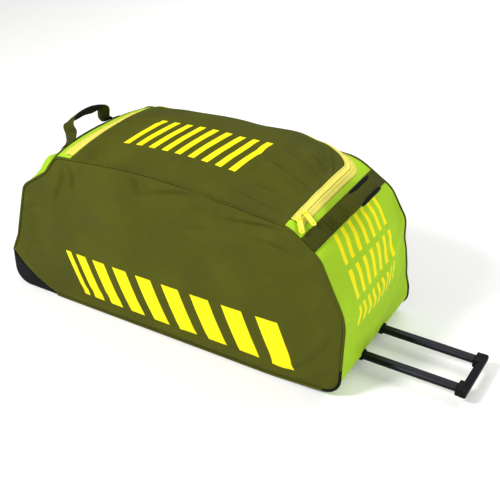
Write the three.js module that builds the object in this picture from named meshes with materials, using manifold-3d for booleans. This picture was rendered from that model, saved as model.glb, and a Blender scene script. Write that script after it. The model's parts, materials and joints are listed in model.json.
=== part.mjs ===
// A soft wheeled kit bag: cloth panels sewn to a flat base, two wheels in moulded corners at one end
// and a telescopic pull handle, drawn out, at the other.
// Millimetres, +Z up. X runs along the bag towards the pull handle, Y across it, and the floor is Z = 0.
import * as THREE from "three";
import { mergeVertices } from "three/addons/utils/BufferGeometryUtils.js";
import Module from "manifold-3d";

const wasm = await Module();
wasm.setup();

// Side view of the seam round each side panel: corners of a closed loop with the radius of each.
const SIDE_OUTLINE = [
  { at: "wheel_heel", x: -474, z: 3.5, radius: 46 },
  { at: "base_rise", x: 300, z: 3.5, radius: 600 },
  { at: "handle_heel", x: 476, z: 16, radius: 44 },
  { at: "handle_waist", x: 476, z: 214, radius: 120 },
  { at: "handle_shoulder", x: 403, z: 346, radius: 70 },
  { at: "lid_handle_edge", x: 321, z: 402, radius: 90 },
  { at: "lid_crown", x: -40, z: 430, radius: 1500 },
  { at: "lid_wheel_edge", x: -312, z: 402, radius: 30 },
  { at: "wheel_tuck", x: -346, z: 352, radius: 30 },
  { at: "wheel_shoulder", x: -417, z: 300, radius: 40 },
  { at: "wheel_hollow", x: -449, z: 150, radius: 90 },
  { at: "wheel_waist", x: -474, z: 92, radius: 60 },
];
// How far the hoop of base, ends and lid swells out halfway across, at the same corners.
const FULLNESS = [
  { at: "wheel_heel", out: 0 },
  { at: "base_rise", out: 0 },
  { at: "handle_heel", out: -3 },
  { at: "handle_waist", out: 9 },
  { at: "handle_shoulder", out: 17 },
  { at: "lid_handle_edge", out: 15 },
  { at: "lid_crown", out: 18 },
  { at: "lid_wheel_edge", out: 16 },
  { at: "wheel_tuck", out: 30 },
  { at: "wheel_shoulder", out: 26 },
  { at: "wheel_hollow", out: 12 },
  { at: "wheel_waist", out: 8 },
];
// How far the far seam lies along X and above the near one: place is X on the lid and Z on the ends.
const FAR_SEAM = [
  { on: "handle_end", place: 70, along: 0, above: 0 },
  { on: "handle_end", place: 125, along: -9, above: 0 },
  { on: "handle_end", place: 210, along: -15, above: 0 },
  { on: "handle_end", place: 285, along: 13, above: 5 },
  { on: "handle_end", place: 346, along: 13, above: 9 },
  { on: "lid", place: 300, along: 8, above: 11 },
  { on: "lid", place: 190, along: 0, above: 7 },
  { on: "lid", place: 60, along: 0, above: -9 },
  { on: "lid", place: -120, along: 0, above: -17 },
  { on: "lid", place: -300, along: 32, above: 1 },
  { on: "wheel_end", place: 352, along: 18, above: 6 },
  { on: "wheel_end", place: 280, along: 0, above: 0 },
];
// How far the kit under the lid lifts its crest, by X.
const LID_DOME = [
  { on: "lid", place: 318, height: 0 },
  { on: "lid", place: 240, height: 38 },
  { on: "lid", place: 190, height: 48 },
  { on: "lid", place: 60, height: 46 },
  { on: "lid", place: -120, height: 42 },
  { on: "lid", place: -220, height: 30 },
  { on: "lid", place: -300, height: 0 },
];
// The crest's rise from the near seam, as a share of the half width, and the power of its far fall.
const CREST = { rise: 1.4, fall: 6 };
// Dents in the side panels: middle, half length and half breadth, turn from X in degrees, depth.
const SIDE_FOLDS = [
  { name: "lid_corner_dart", x: -284, z: 345, along: 62, across: 24, turn: 84, depth: 9 },
  { name: "wheel_end_hollow", x: -398, z: 205, along: 70, across: 38, turn: 72, depth: 7 },
  { name: "handle_end_drag", x: 215, z: 356, along: 120, across: 24, turn: -10, depth: 6 },
  { name: "handle_end_hollow", x: 392, z: 250, along: 80, across: 34, turn: -62, depth: 5 },
  { name: "shoulder_sag", x: -70, z: 300, along: 230, across: 40, turn: 3, depth: 4 },
];
// Dents in the hoop: middle as X on the lid or as Z on the ends, and Y; then as above, turn from X or Z.
const HOOP_FOLDS = [
  { name: "lid_ruck_near", on: "lid", place: 236, y: -74, along: 92, across: 20, turn: 4, depth: 5 },
  { name: "lid_ruck_middle", on: "lid", place: 222, y: -8, along: 110, across: 22, turn: -3, depth: 4 },
  { name: "lid_sag", on: "lid", place: -60, y: 20, along: 190, across: 70, turn: 0, depth: 5 },
  { name: "handle_dent", on: "handle_end", place: 312, y: -66, along: 32, across: 46, turn: 10, depth: 6 },
  { name: "wheel_dent", on: "wheel_end", place: 240, y: 30, along: 60, across: 60, turn: 0, depth: 6 },
];

const HALF_WIDTH = { base: 196, lid: 170, lidHeight: 400, power: 1.6 };
const HOOP_PILLOW = 2.4; // how square the swell is across the hoop
const SIDE_PILLOW = 2.6; // how square the swell of a side panel is
const SIDE_FULLNESS = 20;
const FOLD_REACH = 3; // how soon the dents die out towards a seam: they are whole where the swell is a third
const MIDDLE = new THREE.Vector3(0, 0, 200); // a point well inside the bag
const CLOTH = 2;
const GAP = 0.5;
const BEAD_RADIUS = 3;
const CORNER_BEAD_TOP = 85; // height where the black bead of the lower corner ends
const SEAM_INSET = 3.9; // from a seam line to the edge of the panel beside it
const BASE = {
  thickness: 3,
  wheelEdge: -335,
  sideRamp: 30,
  endRamp: 30,
  columns: [-1, -0.84, -0.4, 0, 0.4, 0.84, 1], // across the base, as shares of its half width
};
const MOST_BEND = 0.3; // radians between two sections of a bend in the outline
const SEAM_STEP = 42; // most distance between two sections along a seam
const END_STEP = 70; // most distance between two rows of an end panel
const ROW_APART = 4; // least distance between two rows of a wall
// Numbers of facets along and across each piece.
const STEPS = {
  zipEnd: 7,
  zipCorner: 5,
  zipFar: 15,
  lidCorner: 5,
  lidLength: 15,
  lidBreadth: 8,
  endAcross: 6,
  endUpper: 3,
  borderLength: 15,
  borderBreadth: 2,
  baseRamp: 2,
  baseLength: 4,
  skirtAround: 14,
  skirtAcross: 4,
  sideRows: 11,
  strapRows: 5,
  strapAcross: 16,
  loop: 40,
  bead: 6,
  wheel: 24,
};

// The zip: a strip along three edges of the lid, with round corners on the far side.
const LID = { handleEdge: 312, wheelEdge: -270, farEdge: 134, cornerRadius: 34 };
const FAR_SLOPE = 0.78; // breadth in Y of what lies on the lid's far slope, as a share of its own breadth
const ZIP = { tape: 15, centreGap: 0.6, thickness: 1.4, ridge: 1.6 };
const SLIDER = { seat: 0.2, length: 13, breadth: 9, height: 4 };
const POST = { breadth: 3.2, height: 4, cap: 6, capHeight: 1.4 };
const SLIDER_Y = { a: -138, b: -114 };
const PULL = { length: 45, breadth: 13, thickness: 1.8, eye: 4.6, hole: 5, slant: { a: -46, b: -22 } };

// Webbing bands across the ends, at the X of their upper edge, and the standing loops on them.
const STRAP = { width: 42, thickness: 1.8, handleEnd: 352, wheelEnd: -319 };
const LOOP = { width: 38, thickness: 2, gap: 0.9 };
const LOOP_RISE = [
  { name: "foot_end", y: 94, height: 0 },
  { name: "foot", y: 78, height: 0 },
  { name: "bend", y: 67, height: 4 },
  { name: "leg", y: 61, height: 17 },
  { name: "knee", y: 60, height: 46 },
  { name: "shoulder", y: 45, height: 60 },
  { name: "apex", y: 0, height: 64 },
];
// How each loop stands: its height as a share of the rise above, its first rise square to the strap,
// then in degrees its lean from upright towards +X and the roll of the band at its apex, and the share by
// which it hangs over towards its far half.
const LOOP_POSE = {
  handle_end: { tall: 1, square: 17, lean: 40, twist: 0, sag: 0 },
  wheel_end: { tall: 0.88, square: 10, lean: -4, twist: -8, sag: 0.15 },
};
const PAD = { halfLength: 46, width: 46, thickness: 12, gap: 0.9 };

const WHEEL = { x: -428, radius: 46, outerY: 182, width: 40, bore: 5.3 };
const HUB = { radius: 13, web: 4, rim: 5, rimInset: 3 };
const TYRE = { depth: 9, inset: 2, shoulder: 4 };
const AXLE_RADIUS = 5;
const HOUSING = {
  faceY: 196,
  plate: 8,
  backY: 130,
  skin: 6,
  rim: 42,
  well: 50.5,
  dome: 54,
  top: 97,
  toe: -338,
  bottom: 4,
  sewLineX: -425,
  sewLineZ: 38,
  sewGap: 1.1,
};

const TROLLEY = { y: 57.5, z: 34, travelClear: 0.5 };
const TUBE = { width: 24, height: 15, chamfer: 4, wall: 1.6, inner: 380, outer: 703.5 };
const SLEEVE = { wall: 2, inner: 150, outer: 474, feet: [165, 215], footLength: 26 };
const GRIP = { barX: 722, barDepth: 19, barHeight: 18, halfLength: 77, round: 5 };
const SOCKET = { inner: 704, width: 35, height: 20, round: 3 };

const FINISH = {
  oliveCloth: { color: 0x5a5c22, roughness: 0.85 },
  limeCloth: { color: 0xa6d034, roughness: 0.85 },
  blackCloth: { color: 0x1d2024, roughness: 0.9 },
  zipTape: { color: 0xe6de62, roughness: 0.7 },
  zipEnamel: { color: 0xf0e838, roughness: 0.4 },
  plastic: { color: 0x202327, roughness: 0.5 },
  rubber: { color: 0x141517, roughness: 0.8 },
  tube: { color: 0x2a2d33, roughness: 0.35, metalness: 0.8 },
  steel: { color: 0x9a9da0, roughness: 0.35, metalness: 1 },
};

const clamp = (value, low, high) => Math.min(high, Math.max(low, value));
const radians = THREE.MathUtils.degToRad;
const ramp = (value) => THREE.MathUtils.smoothstep(value, 0, 1);
const mix = THREE.MathUtils.lerp;
const range = (count, from, to) =>
  Array.from({ length: count + 1 }, (_, i) => mix(from, to, i / count));

// The side outline as runs of arcs and lines, each with its start, heading and curvature.
function roundedLoop(corners) {
  const count = corners.length;
  const legs = corners.map((corner, i) => {
    const next = corners[(i + 1) % count];
    const run = { x: next.x - corner.x, z: next.z - corner.z };
    return { heading: Math.atan2(run.z, run.x), length: Math.hypot(run.x, run.z) };
  });
  const bends = corners.map((corner, i) => {
    const into = legs[(i + count - 1) % count].heading;
    const difference = legs[i].heading - into;
    const turn = Math.atan2(Math.sin(difference), Math.cos(difference));
    return { into, turn, trim: corner.radius * Math.tan(Math.abs(turn) / 2) };
  });
  const runs = [];
  const middles = {};
  let station = 0;
  const addRun = (x, z, heading, curvature, length) => {
    runs.push({ station, x, z, heading, curvature, length });
    station += length;
  };
  corners.forEach((corner, i) => {
    const { into, turn, trim } = bends[i];
    const arc = corner.radius * Math.abs(turn);
    middles[corner.at] = { middle: station + arc / 2, start: station, end: station + arc };
    const bendX = corner.x - trim * Math.cos(into);
    const bendZ = corner.z - trim * Math.sin(into);
    addRun(bendX, bendZ, into, Math.sign(turn) / corner.radius, arc);
    const { heading, length } = legs[i];
    const lineX = corner.x + trim * Math.cos(heading);
    const lineZ = corner.z + trim * Math.sin(heading);
    addRun(lineX, lineZ, heading, 0, length - trim - bends[(i + 1) % count].trim);
  });
  const total = station;
  const at = (where) => {
    const wrapped = THREE.MathUtils.euclideanModulo(where, total);
    const run = runs.findLast((candidate) => candidate.station <= wrapped);
    const along = wrapped - run.station;
    const heading = run.heading + run.curvature * along;
    if (run.curvature === 0) {
      const x = run.x + along * Math.cos(heading);
      return { x, z: run.z + along * Math.sin(heading), heading };
    }
    const x = run.x + (Math.sin(heading) - Math.sin(run.heading)) / run.curvature;
    const z = run.z - (Math.cos(heading) - Math.cos(run.heading)) / run.curvature;
    return { x, z, heading };
  };
  // Stations from one to another, close enough together for each bend and no further apart than longest.
  const between = (from, to, longest) => {
    const stations = [from];
    const laps = [...runs, ...runs.map((run) => ({ ...run, station: run.station + total }))];
    laps.forEach((run) => {
      const start = Math.max(from, run.station);
      const end = Math.min(to, run.station + run.length);
      const length = end - start;
      if (length <= 0) return;
      const count = Math.ceil(length * Math.max(Math.abs(run.curvature) / MOST_BEND, 1 / longest));
      stations.push(...range(count, start, end).slice(1));
    });
    return stations;
  };
  return { at, between, total, corner: middles };
}

const outline = roundedLoop(SIDE_OUTLINE);

// The station between two others where the outline's x or z has a given value.
function stationWhere(axis, value, from, to) {
  let [low, high] = [from, to];
  const rising = outline.at(to)[axis] > outline.at(from)[axis];
  for (let i = 0; i < 40; i += 1) {
    const middle = (low + high) / 2;
    const below = outline.at(middle)[axis] < value;
    if (below === rising) low = middle;
    else high = middle;
  }
  return low;
}

const { corner } = outline;
const lidX = (x) => stationWhere("x", x, corner.lid_handle_edge.start, corner.lid_wheel_edge.end);
const handleEndZ = (z) => stationWhere("z", z, corner.handle_heel.end, corner.lid_handle_edge.start);
const wheelEndZ = (z) => stationWhere("z", z, corner.lid_wheel_edge.end, outline.total);
const stationOn = { lid: lidX, handle_end: handleEndZ, wheel_end: wheelEndZ };

const stationed = (rows) => rows.map((row) => ({ ...row, station: stationOn[row.on](row.place) }));
const hoopFolds = stationed(HOOP_FOLDS);
const farSeam = stationed(FAR_SEAM);
const lidDome = stationed(LID_DOME);

// The value of a column at a station, eased between the rows of a table.
function eased(rows, column, station) {
  const next = rows.findIndex((row) => row.station > station);
  if (next < 0) return rows.at(-1)[column];
  if (next === 0) return rows[0][column];
  const [a, b] = [rows[next - 1], rows[next]];
  return mix(a[column], b[column], ramp((station - a.station) / (b.station - a.station)));
}

// A dent's depth at a distance from its middle, as a smooth hollow.
function dent(fold, a, b) {
  const turn = radians(fold.turn);
  const along = (a * Math.cos(turn) + b * Math.sin(turn)) / fold.along;
  const across = (b * Math.cos(turn) - a * Math.sin(turn)) / fold.across;
  return fold.depth * Math.exp(-along * along - across * across);
}

const hoopDent = (station, y) =>
  hoopFolds.reduce((sum, fold) => sum + dent(fold, station - fold.station, y - fold.y), 0);

function halfWidth(z) {
  const share = Math.max(z, 0) / HALF_WIDTH.lidHeight;
  return HALF_WIDTH.base - (HALF_WIDTH.base - HALF_WIDTH.lid) * share ** HALF_WIDTH.power;
}

const swells = FULLNESS.map((row) => ({ ...row, station: corner[row.at].middle }));

const pillow = (share, power) => 1 - Math.abs(share) ** power;

// The lid's dome across the bag: a slow rise from the near seam, and a steep fall to the far one.
const crest = (share) =>
  THREE.MathUtils.smoothstep(share, -1, CREST.rise - 1) * pillow(Math.max(0, share), CREST.fall);

// A point of the hoop of base, ends and lid, by its station on the outline and its Y.
function hoop(station, y) {
  const where = THREE.MathUtils.euclideanModulo(station, outline.total);
  const seam = outline.at(where);
  const share = clamp(y / halfWidth(seam.z), -1, 1);
  const swell = pillow(share, HOOP_PILLOW);
  const dome = eased(lidDome, "height", where) * crest(share);
  const hollow = hoopDent(where, y) * Math.min(1, FOLD_REACH * swell);
  const out = eased(swells, "out", where) * swell + dome - hollow;
  const farness = (share + 1) / 2;
  const x = seam.x + out * Math.sin(seam.heading) + farness * eased(farSeam, "along", where);
  const z = seam.z - out * Math.cos(seam.heading) + farness * eased(farSeam, "above", where);
  return new THREE.Vector3(x, y, z);
}

// Directions along and across the hoop at a point, and out of it.
function hoopFrame(station, y) {
  const step = 2;
  const along = hoop(station + step, y).sub(hoop(station - step, y)).normalize();
  const across = hoop(station, y + step).sub(hoop(station, y - step)).normalize();
  return { point: hoop(station, y), along, across, out: along.clone().cross(across).negate().normalize() };
}

// A point of a side's seam, with the directions across the bag and out of the seam in side view.
function seamFrame(station, sign) {
  const { point, along } = hoopFrame(station, sign * halfWidth(outline.at(station).z));
  const out = new THREE.Vector3(along.z, 0, -along.x).normalize();
  return { point, across: new THREE.Vector3(0, 1, 0), out };
}

// Turns a geometry's faces outwards and keeps only its positions.
function closedGeometry(positions, triangles) {
  let volume = 0;
  for (let i = 0; i < triangles.length; i += 3) {
    const [a, b, c] = [0, 1, 2].map((k) => positions[triangles[i + k]]);
    volume += a.dot(b.clone().cross(c));
  }
  const geometry = new THREE.BufferGeometry().setFromPoints(positions);
  geometry.setIndex(volume > 0 ? triangles : triangles.reverse());
  return geometry;
}

// A wall from a grid of points on its outer face, with its thickness laid inwards.
function wall(grid, thickness) {
  const rows = grid.length;
  const columns = grid[0].length;
  const inner = grid.map((row, i) =>
    row.map((point, j) => {
      const along = grid[Math.min(i + 1, rows - 1)][j].clone().sub(grid[Math.max(i - 1, 0)][j]);
      const across = row[Math.min(j + 1, columns - 1)].clone().sub(row[Math.max(j - 1, 0)]);
      const out = along.cross(across).normalize();
      const outwards = Math.sign(out.dot(point.clone().sub(MIDDLE)));
      return point.clone().addScaledVector(out, -outwards * thickness);
    }),
  );
  const positions = [...grid.flat(), ...inner.flat()];
  const layer = rows * columns;
  const triangles = [];
  const quad = (a, b, c, d) => triangles.push(a, b, c, a, c, d);
  const index = (i, j) => i * columns + j;
  for (let i = 0; i + 1 < rows; i += 1) {
    for (let j = 0; j + 1 < columns; j += 1) {
      const face = [index(i, j), index(i + 1, j), index(i + 1, j + 1), index(i, j + 1)];
      quad(...face);
      quad(...face.map((vertex) => vertex + layer).reverse());
    }
  }
  const rim = [];
  for (let j = 0; j + 1 < columns; j += 1) rim.push(index(0, j));
  for (let i = 0; i + 1 < rows; i += 1) rim.push(index(i, columns - 1));
  for (let j = columns - 1; j > 0; j -= 1) rim.push(index(rows - 1, j));
  for (let i = rows - 1; i > 0; i -= 1) rim.push(index(i, 0));
  rim.forEach((a, k) => {
    const b = rim[(k + 1) % rim.length];
    quad(a, b, b + layer, a + layer);
  });
  return closedGeometry(positions, triangles);
}

// A closed tube whose ring at each frame is a convex section laid in the frame's across and out.
function sweep(frames, section) {
  const size = section.length;
  const positions = frames.flatMap((frame) =>
    section.map(([a, b]) =>
      frame.point.clone().addScaledVector(frame.across, a).addScaledVector(frame.out, b),
    ),
  );
  const triangles = [];
  for (let i = 0; i + 1 < frames.length; i += 1) {
    for (let k = 0; k < size; k += 1) {
      const [a, b] = [i * size + k, i * size + ((k + 1) % size)];
      triangles.push(a, b, b + size, a, b + size, a + size);
    }
  }
  const last = (frames.length - 1) * size;
  for (let k = 1; k + 1 < size; k += 1) {
    triangles.push(0, k + 1, k);
    triangles.push(last, last + k, last + k + 1);
  }
  return closedGeometry(positions, triangles);
}

function solidOf(geometry) {
  const bare = geometry.clone();
  bare.deleteAttribute("normal");
  bare.deleteAttribute("uv");
  const merged = mergeVertices(bare, 1e-3);
  const vertProperties = merged.attributes.position.array;
  return new wasm.Manifold(
    new wasm.Mesh({ numProp: 3, vertProperties, triVerts: new Uint32Array(merged.index.array) }),
  );
}

function geometryOf(solid) {
  const mesh = solid.getMesh();
  const geometry = new THREE.BufferGeometry();
  geometry.setAttribute("position", new THREE.Float32BufferAttribute(mesh.vertProperties, 3));
  geometry.setIndex([...mesh.triVerts]);
  return geometry;
}

const joined = (parts) => geometryOf(parts.map(solidOf).reduce((a, b) => a.add(b)));
const cut = (body, tools) =>
  geometryOf(tools.map(solidOf).reduce((rest, tool) => rest.subtract(tool), solidOf(body)));

function box(x, y, z) {
  const geometry = new THREE.BoxGeometry(x[1] - x[0], y[1] - y[0], z[1] - z[0]);
  return geometry.translate((x[0] + x[1]) / 2, (y[0] + y[1]) / 2, (z[0] + z[1]) / 2);
}

// A shape drawn in X and Z, extruded along Y between two values.
function alongY(shape, from, to, options = {}) {
  const geometry = new THREE.ExtrudeGeometry(shape, {
    depth: to - from,
    bevelEnabled: false,
    curveSegments: 8,
    ...options,
  });
  return geometry.rotateX(Math.PI / 2).translate(0, to, 0);
}

const bag = new THREE.Group();

function add(name, geometry, finish) {
  const mesh = new THREE.Mesh(geometry, new THREE.MeshStandardMaterial(finish));
  mesh.name = name;
  bag.add(mesh);
}

const sides = [
  { side: "near", sign: -1 },
  { side: "far", sign: 1 },
];

// Stations of the edges of lid and zip.
const zipWidth = 2 * ZIP.tape + ZIP.centreGap;
const lidStart = lidX(LID.handleEdge);
const lidEnd = lidX(LID.wheelEdge);
const cornerY = LID.farEdge - LID.cornerRadius;
const frameRadius = LID.cornerRadius + zipWidth + GAP;
const frameReach = LID.cornerRadius + (zipWidth + GAP) * FAR_SLOPE;
const nearEdge = (station) => -(halfWidth(outline.at(station).z) - SEAM_INSET);

// The lid's zipped edge, pushed out by an offset, as station and Y: end, corner, far side, corner, end.
function zipEdge(offset) {
  const radius = LID.cornerRadius + offset;
  const reach = LID.cornerRadius + offset * FAR_SLOPE;
  const start = lidStart + LID.cornerRadius;
  const end = lidEnd - LID.cornerRadius;
  const points = [];
  const put = (station, y) => points.push({ station, y });
  range(STEPS.zipEnd, nearEdge(lidStart), cornerY).forEach((y) => put(lidStart - offset, y));
  range(STEPS.zipCorner, 0, Math.PI / 2)
    .slice(1)
    .forEach((turn) => put(start - radius * Math.cos(turn), cornerY + reach * Math.sin(turn)));
  range(STEPS.zipFar, start, end)
    .slice(1)
    .forEach((station) => put(station, cornerY + reach));
  range(STEPS.zipCorner, Math.PI / 2, 0)
    .slice(1)
    .forEach((turn) => put(end + radius * Math.cos(turn), cornerY + reach * Math.sin(turn)));
  range(STEPS.zipEnd, cornerY, nearEdge(lidEnd))
    .slice(1)
    .forEach((y) => put(lidEnd + offset, y));
  return points;
}

// A zip tape: a band between offsets from the lid's edge, raised to a ridge where the halves meet.
function zipTape(plainOffset, meetingOffset) {
  const columns = [
    { share: 0, lift: 0 },
    { share: 0.6, lift: 0 },
    { share: 0.75, lift: 1 },
    { share: 1, lift: 1 },
  ];
  const grid = columns.map(({ share, lift }) =>
    zipEdge(mix(plainOffset, meetingOffset, share)).map(({ station, y }) => {
      const { point, out } = hoopFrame(station, y);
      return point.addScaledVector(out, lift * ZIP.ridge);
    }),
  );
  return wall(grid, ZIP.thickness);
}

function lidPanel() {
  const radius = LID.cornerRadius;
  const turns = range(STEPS.lidCorner, 0, Math.PI / 2).map((turn) => radius * (1 - Math.cos(turn)));
  const flat = range(STEPS.lidLength, lidStart + radius, lidEnd - radius).slice(1, -1);
  const ends = turns.map((away) => lidStart + away);
  const stations = [...ends, ...flat, ...turns.map((away) => lidEnd - away).reverse()];
  const shares = range(STEPS.lidBreadth, 0, 1);
  const grid = stations.map((station) => {
    const away = Math.min(station - lidStart, lidEnd - station, radius);
    const far = cornerY + Math.sqrt(radius ** 2 - (radius - away) ** 2) - GAP;
    const inside = clamp(station, lidStart + GAP, lidEnd - GAP);
    return shares.map((share) => hoop(inside, mix(nearEdge(inside), far, share)));
  });
  return wall(grid, CLOTH);
}

// The Y of each column of an end panel at its zip edge, and how far that edge lies from the lid's end.
function endColumns() {
  const arc = range(STEPS.zipCorner, 0, Math.PI / 2).slice(1);
  const farY = -nearEdge(lidStart);
  const plain = range(STEPS.endAcross, -farY, cornerY).map((y) => ({ y, away: zipWidth + GAP }));
  const round = arc.map((turn) => ({
    y: cornerY + frameReach * Math.sin(turn),
    away: frameRadius * Math.cos(turn) - LID.cornerRadius,
  }));
  return [...plain, ...round, { y: farY, away: -LID.cornerRadius }];
}

// Stations of a strap's rows, from its upper edge down; toLid is +1 where stations rise towards the lid.
const strapRows = ({ strapTop, toLid }) =>
  range(STEPS.strapRows, 0, STRAP.width).map((away) => strapTop - toLid * away);

// An end panel from its lower edge up past the strap to the zip.
function endPanel(end) {
  const { lower, lidEdge, strapTop, toLid } = end;
  const top = endColumns();
  const widest = Math.abs(top[0].y);
  const [from, to] = [Math.min(lower, strapTop), Math.max(lower, strapTop)];
  const underStrap = (station) => toLid * (strapTop - station) < STRAP.width + ROW_APART;
  const plain = outline.between(from, to, END_STEP).filter((station) => !underStrap(station));
  const rows = [...plain, ...strapRows(end)].sort((a, b) => toLid * (a - b));
  const grid = top.map(({ y, away }) => {
    const upper = lidEdge - toLid * away;
    const lowerPart = rows.map((station) => hoop(station, (-nearEdge(station) * y) / widest));
    const upperPart = range(STEPS.endUpper, 0, 1)
      .slice(1)
      .map((share) => hoop(mix(strapTop, upper, share), y * mix(-nearEdge(strapTop) / widest, 1, share)));
    return [...lowerPart, ...upperPart];
  });
  return wall(grid, CLOTH);
}

function lidBorder() {
  const inset = LID.cornerRadius + GAP;
  const stations = range(STEPS.borderLength, lidStart + inset, lidEnd - inset);
  const inner = cornerY + frameReach + GAP;
  const grid = stations.map((station) =>
    range(STEPS.borderBreadth, inner, -nearEdge(station)).map((y) => hoop(station, y)),
  );
  return wall(grid, CLOTH);
}

const baseStart = stationWhere("x", BASE.wheelEdge, corner.wheel_heel.end, corner.base_rise.start);
const baseEnd = corner.handle_heel.start - GAP;
const heelStart = corner.handle_heel.start + GAP;

// The base: a flat field on the floor inside sloping edges that meet the seams.
function basePanel() {
  const rest = corner.base_rise.start;
  const stations = [
    ...range(STEPS.baseRamp, baseStart, baseStart + BASE.endRamp),
    ...range(STEPS.baseLength, rest - BASE.endRamp, rest),
    ...range(STEPS.baseLength, rest, baseEnd).slice(1),
  ];
  const grid = stations.map((station) => {
    const edge = -nearEdge(station);
    const endways = Math.min(station - baseStart, rest - station) / BASE.endRamp;
    return BASE.columns.map((share) => {
      const point = hoop(station, share * edge);
      const sideways = (edge - Math.abs(point.y)) / BASE.sideRamp;
      point.z -= SIDE_OUTLINE[0].z * clamp(Math.min(endways, sideways), 0, 1);
      return point;
    });
  });
  return wall(grid, BASE.thickness);
}

const skirtTop = wheelEndZ(HOUSING.top);

function wheelEndSkirt() {
  const reach = HOUSING.backY - GAP;
  const stations = range(STEPS.skirtAround, skirtTop, outline.total + baseStart - GAP);
  return wall(
    stations.map((station) => range(STEPS.skirtAcross, -reach, reach).map((y) => hoop(station, y))),
    BASE.thickness,
  );
}

// The line that a side panel and a wheel housing share, as a curve in X and Z.
function sewLine(toeZ, shift, topX, topZ) {
  return new THREE.QuadraticBezierCurve(
    new THREE.Vector2(HOUSING.toe + shift, toeZ),
    new THREE.Vector2(HOUSING.sewLineX + shift, HOUSING.sewLineZ + shift),
    new THREE.Vector2(topX, topZ),
  );
}

const endLower = wheelEndZ(HOUSING.top + 2 * GAP);

// The two ends of the bag: where each panel and strap starts, and how its loop stands.
const ENDS = {
  handle_end: {
    lower: heelStart,
    lidEdge: lidStart,
    strapTop: stationWhere("x", STRAP.handleEnd, corner.handle_shoulder.middle, lidStart),
    toLid: 1,
    ...LOOP_POSE.handle_end,
  },
  wheel_end: {
    lower: endLower,
    lidEdge: lidEnd,
    strapTop: stationWhere("x", STRAP.wheelEnd, lidEnd, corner.wheel_shoulder.middle),
    toLid: -1,
    ...LOOP_POSE.wheel_end,
  },
};

// A side panel: a patch between its four edges, swollen in the middle, with its dents.
function sidePanel(sign) {
  const insetPoint = (station) => {
    const { point, out } = seamFrame(station, sign);
    return point.addScaledVector(out, -SEAM_INSET);
  };
  const marks = {
    toe: stationWhere("x", HOUSING.toe + HOUSING.sewGap, corner.wheel_heel.end, corner.base_rise.start),
    heel: corner.handle_heel.middle,
    handle: corner.handle_shoulder.middle,
    wheel: corner.wheel_shoulder.middle,
  };
  const toe = insetPoint(marks.toe);
  const waist = insetPoint(endLower);
  const line = sewLine(toe.z, toe.x - HOUSING.toe, waist.x, waist.z);
  const lineShare = line.getLength() / (line.getLength() + endLower - marks.wheel);
  const left = (v) => {
    if (v > lineShare) return insetPoint(mix(endLower, marks.wheel, (v - lineShare) / (1 - lineShare)));
    const { x, y } = line.getPointAt(v / lineShare);
    return new THREE.Vector3(x, sign * halfWidth(y), y);
  };
  const bottom = (u) => insetPoint(mix(marks.toe, marks.heel, u));
  const right = (v) => insetPoint(mix(marks.heel, marks.handle, v));
  const top = (u) => insetPoint(mix(marks.wheel, marks.handle, u));
  const corners = [bottom(0), bottom(1), top(0), top(1)];
  const place = (u, v) => {
    const point = new THREE.Vector3();
    point.addScaledVector(bottom(u), 1 - v).addScaledVector(top(u), v);
    point.addScaledVector(left(v), 1 - u).addScaledVector(right(v), u);
    [(1 - u) * (1 - v), u * (1 - v), (1 - u) * v, u * v].forEach((share, k) => {
      point.addScaledVector(corners[k], -share);
    });
    const swell = pillow(2 * u - 1, SIDE_PILLOW) * pillow(2 * v - 1, SIDE_PILLOW);
    const hollow = SIDE_FOLDS.reduce((sum, fold) => sum + dent(fold, point.x - fold.x, point.z - fold.z), 0);
    point.y += sign * (SIDE_FULLNESS * swell - hollow * Math.min(1, FOLD_REACH * swell));
    return point;
  };
  const topRun = marks.handle - marks.wheel;
  const stations = outline.between(marks.handle, marks.wheel, SEAM_STEP);
  const columns = stations.map((station) => (station - marks.wheel) / topRun);
  return wall(
    columns.map((u) => range(STEPS.sideRows, 0, 1).map((v) => place(u, v))),
    CLOTH,
  );
}

// A bead of piping on a side's seam between two stations.
function bead(sign, from, to) {
  const frames = outline.between(from, to, SEAM_STEP).map((station) => seamFrame(station, sign));
  const section = range(STEPS.bead, 0, 2 * Math.PI)
    .slice(1)
    .map((turn) => [BEAD_RADIUS * Math.cos(turn), BEAD_RADIUS * Math.sin(turn)]);
  return sweep(frames, section);
}

// Webbing laid across an end, from seam to seam.
function strap(end) {
  const lift = GAP + STRAP.thickness;
  const grid = strapRows(end).map((station) => {
    const edge = nearEdge(station) + SEAM_INSET;
    return range(STEPS.strapAcross, edge, -edge).map((y) => {
      const { point, out } = hoopFrame(station, y);
      return point.addScaledVector(out, lift);
    });
  });
  return wall(grid, STRAP.thickness);
}

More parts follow.
